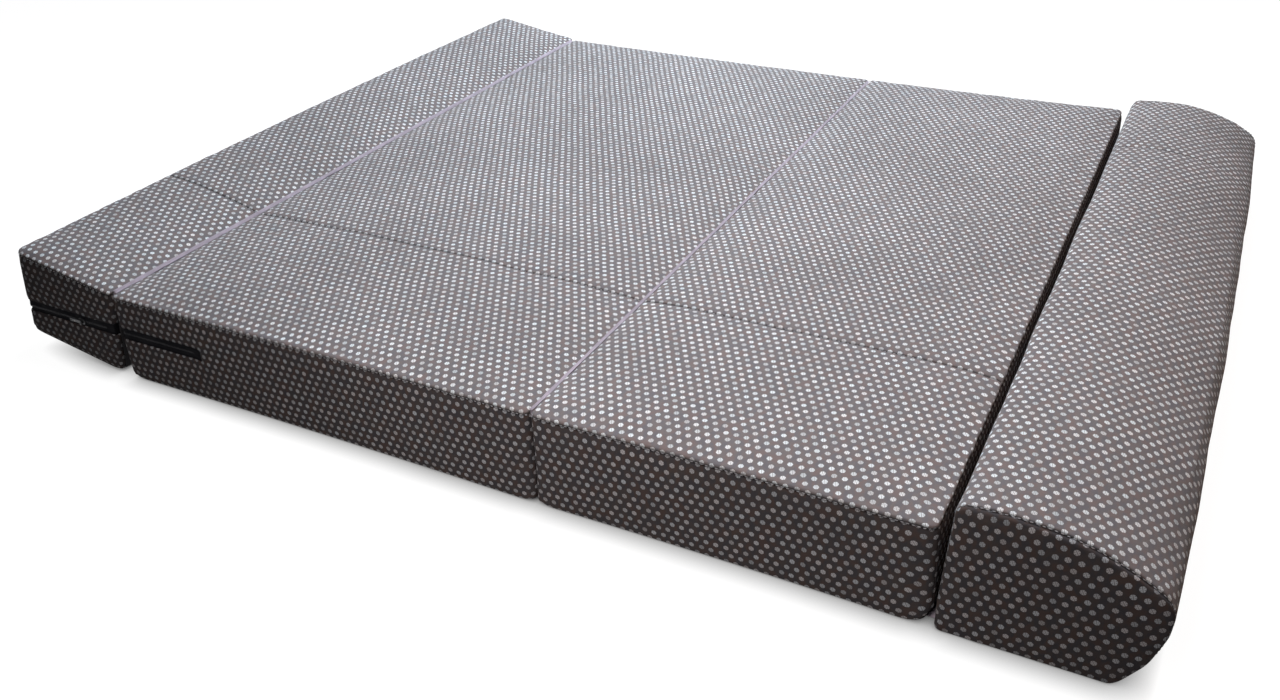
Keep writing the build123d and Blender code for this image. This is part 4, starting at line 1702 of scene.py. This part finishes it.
@dataclass
class BaseBlock(Upholstery):
    """The block that stays on the floor, with the last stretch of the zip."""

    body: Body = Body.BASE
    block: FlatBlock = field(
        default_factory=lambda: FlatBlock(
            name="base", seed=11, start=-0.419, end=0.419, left_radius=0.0065, zip_end=-0.2305,
            settling=Settling(far_start=FAR_FOOT_LIFT), start_room=HINGE_ROOM, end_room=HINGE_ROOM,
        )
    )
    foam: str = "base_foam"
    cuts: tuple = (
        ("base_top_cloth", Panel.TOP_PANEL, Slot.TOP, "base_top_panel"),
        ("base_top_strip_cloth", Panel.TOP_STRIP, Slot.TOP, "base_top_strip"),
        ("base_underside_lining", Panel.UNDERSIDE, Slot.LINING, "base_underside"),
        ("base_foot_wall_lining", Panel.START_WALL, Slot.LINING, "base_foot_wall"),
        ("base_seat_wall_lining", Panel.END_WALL, Slot.LINING, "base_seat_wall"),
        ("base_near_cloth", Panel.NEAR, Slot.BORDER, "base_near_border"),
        ("base_far_cloth", Panel.FAR, Slot.BORDER, "base_far_border"),
    )
    webs: tuple = (
        ("foot_hinge_base_web", -1, "foot_hinge_strip"),
        ("seat_hinge_base_web", 1, "seat_hinge_strip"),
    )
    stop_room: float = 0.009

    def build_zip(self) -> None:
        """Builds the tapes and the coil on both sides, up to the end stops."""
        block = self.block
        self.build_tapes((("base_zip_tape_web", ZIP_PANELS, "base_zip_tapes"),))
        lines = [block.ring_line(block.zip_level(), side, COIL_SINK) for side in (0, 2)]
        self.build_coil([line[line[:, 0] < block.zip_end - self.stop_room] for line in lines])

    def seams(self) -> list[np.ndarray]:
        """The long sides' seams and the one over the top."""
        return [*self.block.seam_path((0, 2), SEAM_SINK), self.block.top_seam_path(TOP_SEAM_SINK)]


@dataclass
class FootBlock(Upholstery):
    """The raised block at the foot end, with the zip round three of its sides."""

    body: Body = Body.FOOT
    block: FootForm = field(
        default_factory=lambda: FootForm(
            name="foot", seed=21, start=-0.650, end=-0.422, left_radius=0.016, right_radius=0.0065,
            draw=0.0, height=0.1695, rise=0.004, crown_share=0.35, corner_lift=0.004, zip_end=9.0,
            settling=Settling(far_start=0.003, start_bow=0.006, far_end=FAR_FOOT_LIFT), end_room=HINGE_ROOM,
        )
    )
    foam: str = "foot_foam"
    cuts: tuple = (
        ("foot_top_cloth", Panel.TOP_PANEL, Slot.TOP, "foot_top_panel"),
        ("foot_top_strip_cloth", Panel.TOP_STRIP, Slot.TOP, "foot_top_strip"),
        ("foot_underside_lining", Panel.UNDERSIDE, Slot.LINING, "foot_underside"),
        ("foot_inner_lining", Panel.END_WALL, Slot.LINING, "foot_inner_wall"),
        ("foot_upper_cloth", Panel.UPPER_BORDER, Slot.BORDER, "foot_upper_border"),
        ("foot_lower_cloth", Panel.LOWER_BORDER, Slot.BORDER, "foot_lower_border"),
    )
    webs: tuple = (("foot_hinge_child_web", 1, "foot_hinge_flap"),)
    joint: str = "foot_fold"

    def give_way(self, piece: bpy.types.Object, panel: Panel) -> None:
        """Gives the top panels, and the upper border, meshes of their own."""
        super().give_way(piece, panel)
        if panel is Panel.UPPER_BORDER:
            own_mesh(piece)

    def build_zip(self) -> None:
        """Builds the two tapes and the coil."""
        upper = ("foot_upper_tape_web", ZIP_PANELS[:2], "foot_upper_zip_tape")
        lower = ("foot_lower_tape_web", ZIP_PANELS[2:], "foot_lower_zip_tape")
        self.build_tapes((upper, lower))
        self.build_coil([self.three_sides(self.block.zip_level(), COIL_SINK)])

    def seams(self) -> list[np.ndarray]:
        """The seam round the free sides and the one over the top."""
        round_ = self.three_sides(self.block.seams[1], SEAM_SINK)
        return [round_, self.block.top_seam_path(TOP_SEAM_SINK)]

    def three_sides(self, level: int, sink: float) -> np.ndarray:
        """A ring's line from the near hinge corner round the free end to the far one."""
        near, far, left = (self.block.ring_line(level, side, sink) for side in (0, 2, 3))
        return np.vstack([near[::-1][3:], left[1:-1], far[:-3]])


@dataclass
class SeatBlock(Upholstery):
    """The block that folds over onto the base and carries the back block."""

    body: Body = Body.SEAT
    block: FlatBlock = field(
        default_factory=lambda: FlatBlock(
            name="seat", seed=31, start=0.422, end=1.004, right_radius=0.011,
            settling=Settling(far_end=0.005), end_bulge=0.0095, start_room=HINGE_ROOM,
        )
    )
    foam: str = "seat_foam_block"
    cuts: tuple = (
        ("seat_top_cloth", Panel.TOP_PANEL, Slot.TOP, "seat_top_panel"),
        ("seat_top_strip_cloth", Panel.TOP_STRIP, Slot.TOP, "seat_top_strip"),
        ("seat_underside_lining", Panel.UNDERSIDE, Slot.LINING, "seat_underside"),
        ("seat_base_wall_lining", Panel.START_WALL, Slot.LINING, "seat_base_wall"),
        ("seat_back_wall_cloth", Panel.END_WALL, Slot.BORDER, "seat_back_wall"),
        ("seat_near_cloth", Panel.NEAR, Slot.BORDER, "seat_near_border"),
        ("seat_far_cloth", Panel.FAR, Slot.BORDER, "seat_far_border"),
    )
    webs: tuple = (("seat_hinge_child_web", -1, "seat_hinge_flap"),)
    joint: str = "seat_fold"

    def give_way(self, piece: bpy.types.Object, panel: Panel) -> None:
        """Gives the top panels, and the outer wall, meshes of their own through press."""
        super().give_way(piece, panel)
        if panel is Panel.END_WALL:
            self.press(piece, 0.0, 0.985)

    def seams(self) -> list[np.ndarray]:
        """The seam round the free sides and the one over the top."""
        return [*self.block.seam_path((0, 1, 2), SEAM_SINK), self.block.top_seam_path(TOP_SEAM_SINK)]


@dataclass
class BackBlock(Upholstery):
    """The block that stands up as the backrest of the sofa."""

    body: Body = Body.BACK
    block: BackForm = field(default_factory=BackForm)
    foam: str = "back_foam"
    cuts: tuple = (
        ("back_wrap_cloth", Panel.TOP_PANEL, Slot.TOP, "back_wrap_panel"),
        ("back_wrap_strip_cloth", Panel.TOP_STRIP, Slot.TOP, "back_wrap_strip"),
        ("back_underside_lining", Panel.UNDERSIDE, Slot.LINING, "back_underside"),
        ("back_root_cloth", Panel.START_WALL, Slot.BORDER, "back_root_wall"),
        ("back_near_cloth", Panel.NEAR, Slot.BORDER, "back_near_end"),
        ("back_far_cloth", Panel.FAR, Slot.BORDER, "back_far_end"),
    )

    def seams(self) -> list[np.ndarray]:
        """The seams of both end panels and the one across the wrap."""
        ends = [self.block.end_seam_path(near, SEAM_SINK) for near in (True, False)]
        return [*ends, self.block.wrap_seam_path(WRAP_SEAM_SINK)]


@dataclass
class TopHinge:
    """The pale tape of a sewn hinge, over the crease between two blocks."""

    name: str
    x: float
    child: Body
    child_side: int
    left_height: float
    right_height: float
    reach: float = 0.789
    far_lift: float = 0.0
    half_bend: float = 0.005
    waver: float = 0.00035

    def build(self) -> None:
        """Builds the tape, bent between its two blocks."""
        profile = self.tape_profile()
        tape = strip(self.name + "_tape", profile, self.reach, WEB_THICKNESS, self.far_lift, self.waver)
        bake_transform(tape)

    def tape_profile(self) -> list[Pair]:
        """The tape's cross-section, which dips into the crease."""
        shape = ((3.1, -0.7), (2.6, -0.6), (1.9, -0.9), (1.1, -1.6))
        left = [(self.x - x / 1000, self.left_height + z / 1000) for x, z in shape]
        right = [(self.x + x / 1000, self.right_height + z / 1000) for x, z in reversed(shape)]
        low = min(self.left_height, self.right_height) - 0.0024
        return [*left, (self.x, low), *right]


@dataclass
class FloorHinge:
    """The strip under the gap between the seat and the back block."""

    start: float = 0.9965
    end: float = 1.0265
    line: float = 1.016
    reach: float = 0.778
    heights: Pair = (0.0014, 0.0019)
    thickness: float = 0.001

    def build(self) -> None:
        """Builds the strip, bent between its two blocks."""
        low, high = self.heights
        flat = [(self.start, low), (1.002, low), (1.008, high), (self.line, high)]
        shape = [*flat, (1.0205, high), (self.end, low)]
        tape = strip("floor_hinge_tape", shape, self.reach, self.thickness)
        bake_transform(tape)
        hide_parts("back_hinge_strip", "back_hinge_flap")


@dataclass
class ZipFittings:
    """The metal parts of the zip, which keep their own forms."""

    nodes: tuple[str, ...] = ("zip_slider", "zip_pull", "zip_end_stops")

    def build(self) -> None:
        """Gives the metal parts their lacquer."""
        for node in self.nodes:
            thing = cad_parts[node]
            thing.data.materials.clear()
            thing.data.materials.append(FINISHES.get(LacqueredMetal()))
            log.info("%s keeps its form", node)


@dataclass(frozen=True)
class Lamp:
    """A soft square lamp."""

    name: str
    place: tuple
    aim: tuple
    size: float
    power: float
    colour: Colour
    spread: float = 180.0

    def hang(self) -> None:
        """Puts the lamp in its place, pointed at its aim."""
        light = bpy.data.lights.new(self.name, "AREA")
        light.energy = self.power
        light.color = self.colour
        light.size = self.size
        light.spread = math.radians(self.spread)
        lamp = put(self.name, light)
        lamp.location = self.place
        lamp.rotation_euler = (Vector(self.aim) - Vector(self.place)).to_track_quat("-Z", "Y").to_euler()
        lamp.visible_camera = False


@dataclass
class Studio:
    """The floor, the light and the camera."""

    camera_place: tuple = (1.20587, -1.93281, 1.09805)
    camera_turn: tuple = (1.0242, 0.025, 0.4723)
    lens: float = 32.648
    lamps: tuple = (
        Lamp("overhead", (0.27, 0.25, 2.6), (0.3, 0.0, 0.1), 1.2, 65.0, (0.76, 0.865, 0.975)),
        Lamp("warm_back", (1.5, 0.1, 2.2), (0.5, -0.3, 0.1), 1.2, 9.5, (1.0, 0.47, 0.17)),
        Lamp("behind", (-0.25, 1.6, 1.2), (0.2, 0.0, 0.1), 1.0, 24.0, (0.8, 0.91, 1.0)),
        Lamp("front", (0.65, -2.2, 1.15), (0.5, -0.8, 0.1), 0.6, 3.7, (1.0, 0.94, 0.93), 80.0),
    )
    floor_half: float = 20.0
    bounce: Colour = (0.04, 0.04, 0.042)
    seen_colour: Colour = (0.12, 0.12, 0.12)
    glow: float = 0.98
    shadow_reach: float = 0.038

    def build(self) -> None:
        """Sets the studio up."""
        self.build_camera()
        self.build_lights()
        self.build_floor()

    def build_camera(self) -> None:
        """Puts the camera where the photograph was taken from."""
        data = bpy.data.cameras.new("camera")
        data.lens = self.lens
        data.sensor_width = 36.0
        data.clip_end = 100.0
        camera = put("camera", data)
        camera.location = self.camera_place
        camera.rotation_euler = self.camera_turn
        bpy.context.scene.camera = camera

    def build_lights(self) -> None:
        """Hangs the lamps, and makes a world that looks white and gives no light."""
        for lamp in self.lamps:
            lamp.hang()
        world = bpy.data.worlds.new("pale_world")
        bpy.context.scene.world = world
        world.use_nodes = True
        tree = world.node_tree
        tree.nodes.clear()
        dark, pale = (
            add_node(tree, "ShaderNodeBackground", {"Strength": strength, "Color": (1, 1, 1)}).outputs[0]
            for strength in (0.0, 1.0)
        )
        mix = add_node(tree, "ShaderNodeMixShader", {0: self.seen_share(tree), 1: dark, 2: pale})
        add_node(tree, "ShaderNodeOutputWorld", {0: mix.outputs[0]})
        bpy.context.scene.view_settings.view_transform = "Standard"

    def seen_share(self, tree: bpy.types.NodeTree) -> bpy.types.NodeSocket:
        """1 for the rays that look at a background, in a mirror or glass too."""
        path = tree.nodes.new("ShaderNodeLightPath")
        total = path.outputs["Is Camera Ray"]
        for name in ("Is Glossy Ray", "Is Transmission Ray"):
            inputs = {0: total, 1: path.outputs[name]}
            total = add_node(tree, "ShaderNodeMath", inputs, operation="MAXIMUM").outputs[0]
        return total

    def build_floor(self) -> None:
        """Lays a plain floor that looks white and throws little light back."""
        reach = self.floor_half
        corners = [(-reach, -reach, 0), (reach, -reach, 0), (reach, reach, 0), (-reach, reach, 0)]
        floor = new_object("floor", np.array(corners, float), [(0, 1, 2, 3)])
        g = Graph("pale_floor")
        seen = self.seen_share(g.tree)
        g.set(Base_Color=g.mix(seen, self.bounce, self.seen_colour), Roughness=0.9, Specular_IOR_Level=0.0)
        glow = (self.glow,) * 3
        # The glow dims by ambient occlusion near the sofa bed: a painted contact shadow round it.
        shade = g.add("AmbientOcclusion", {"Color": glow, "Distance": self.shadow_reach}).outputs["Color"]
        g.set(Emission_Color=g.mix(seen, (0.0, 0.0, 0.0), shade), Emission_Strength=1.0)
        floor.data.materials.append(g.material)


def main() -> None:
    """Builds the sofa bed and its studio, in order."""
    logging.basicConfig(level=logging.INFO, format="%(message)s")
    parts = (
        Studio(),
        BaseBlock(),
        FootBlock(),
        SeatBlock(),
        BackBlock(),
        TopHinge("foot_hinge", -0.4205, Body.FOOT, -1, 0.1705, 0.1668, far_lift=FAR_FOOT_LIFT),
        TopHinge("seat_hinge", 0.4205, Body.SEAT, 1, 0.1668, 0.1668),
        FloorHinge(),
        ZipFittings(),
    )
    for part in parts:
        log.info("building %s", type(part).__name__)
        part.build()


if __name__ == "__main__":
    main()
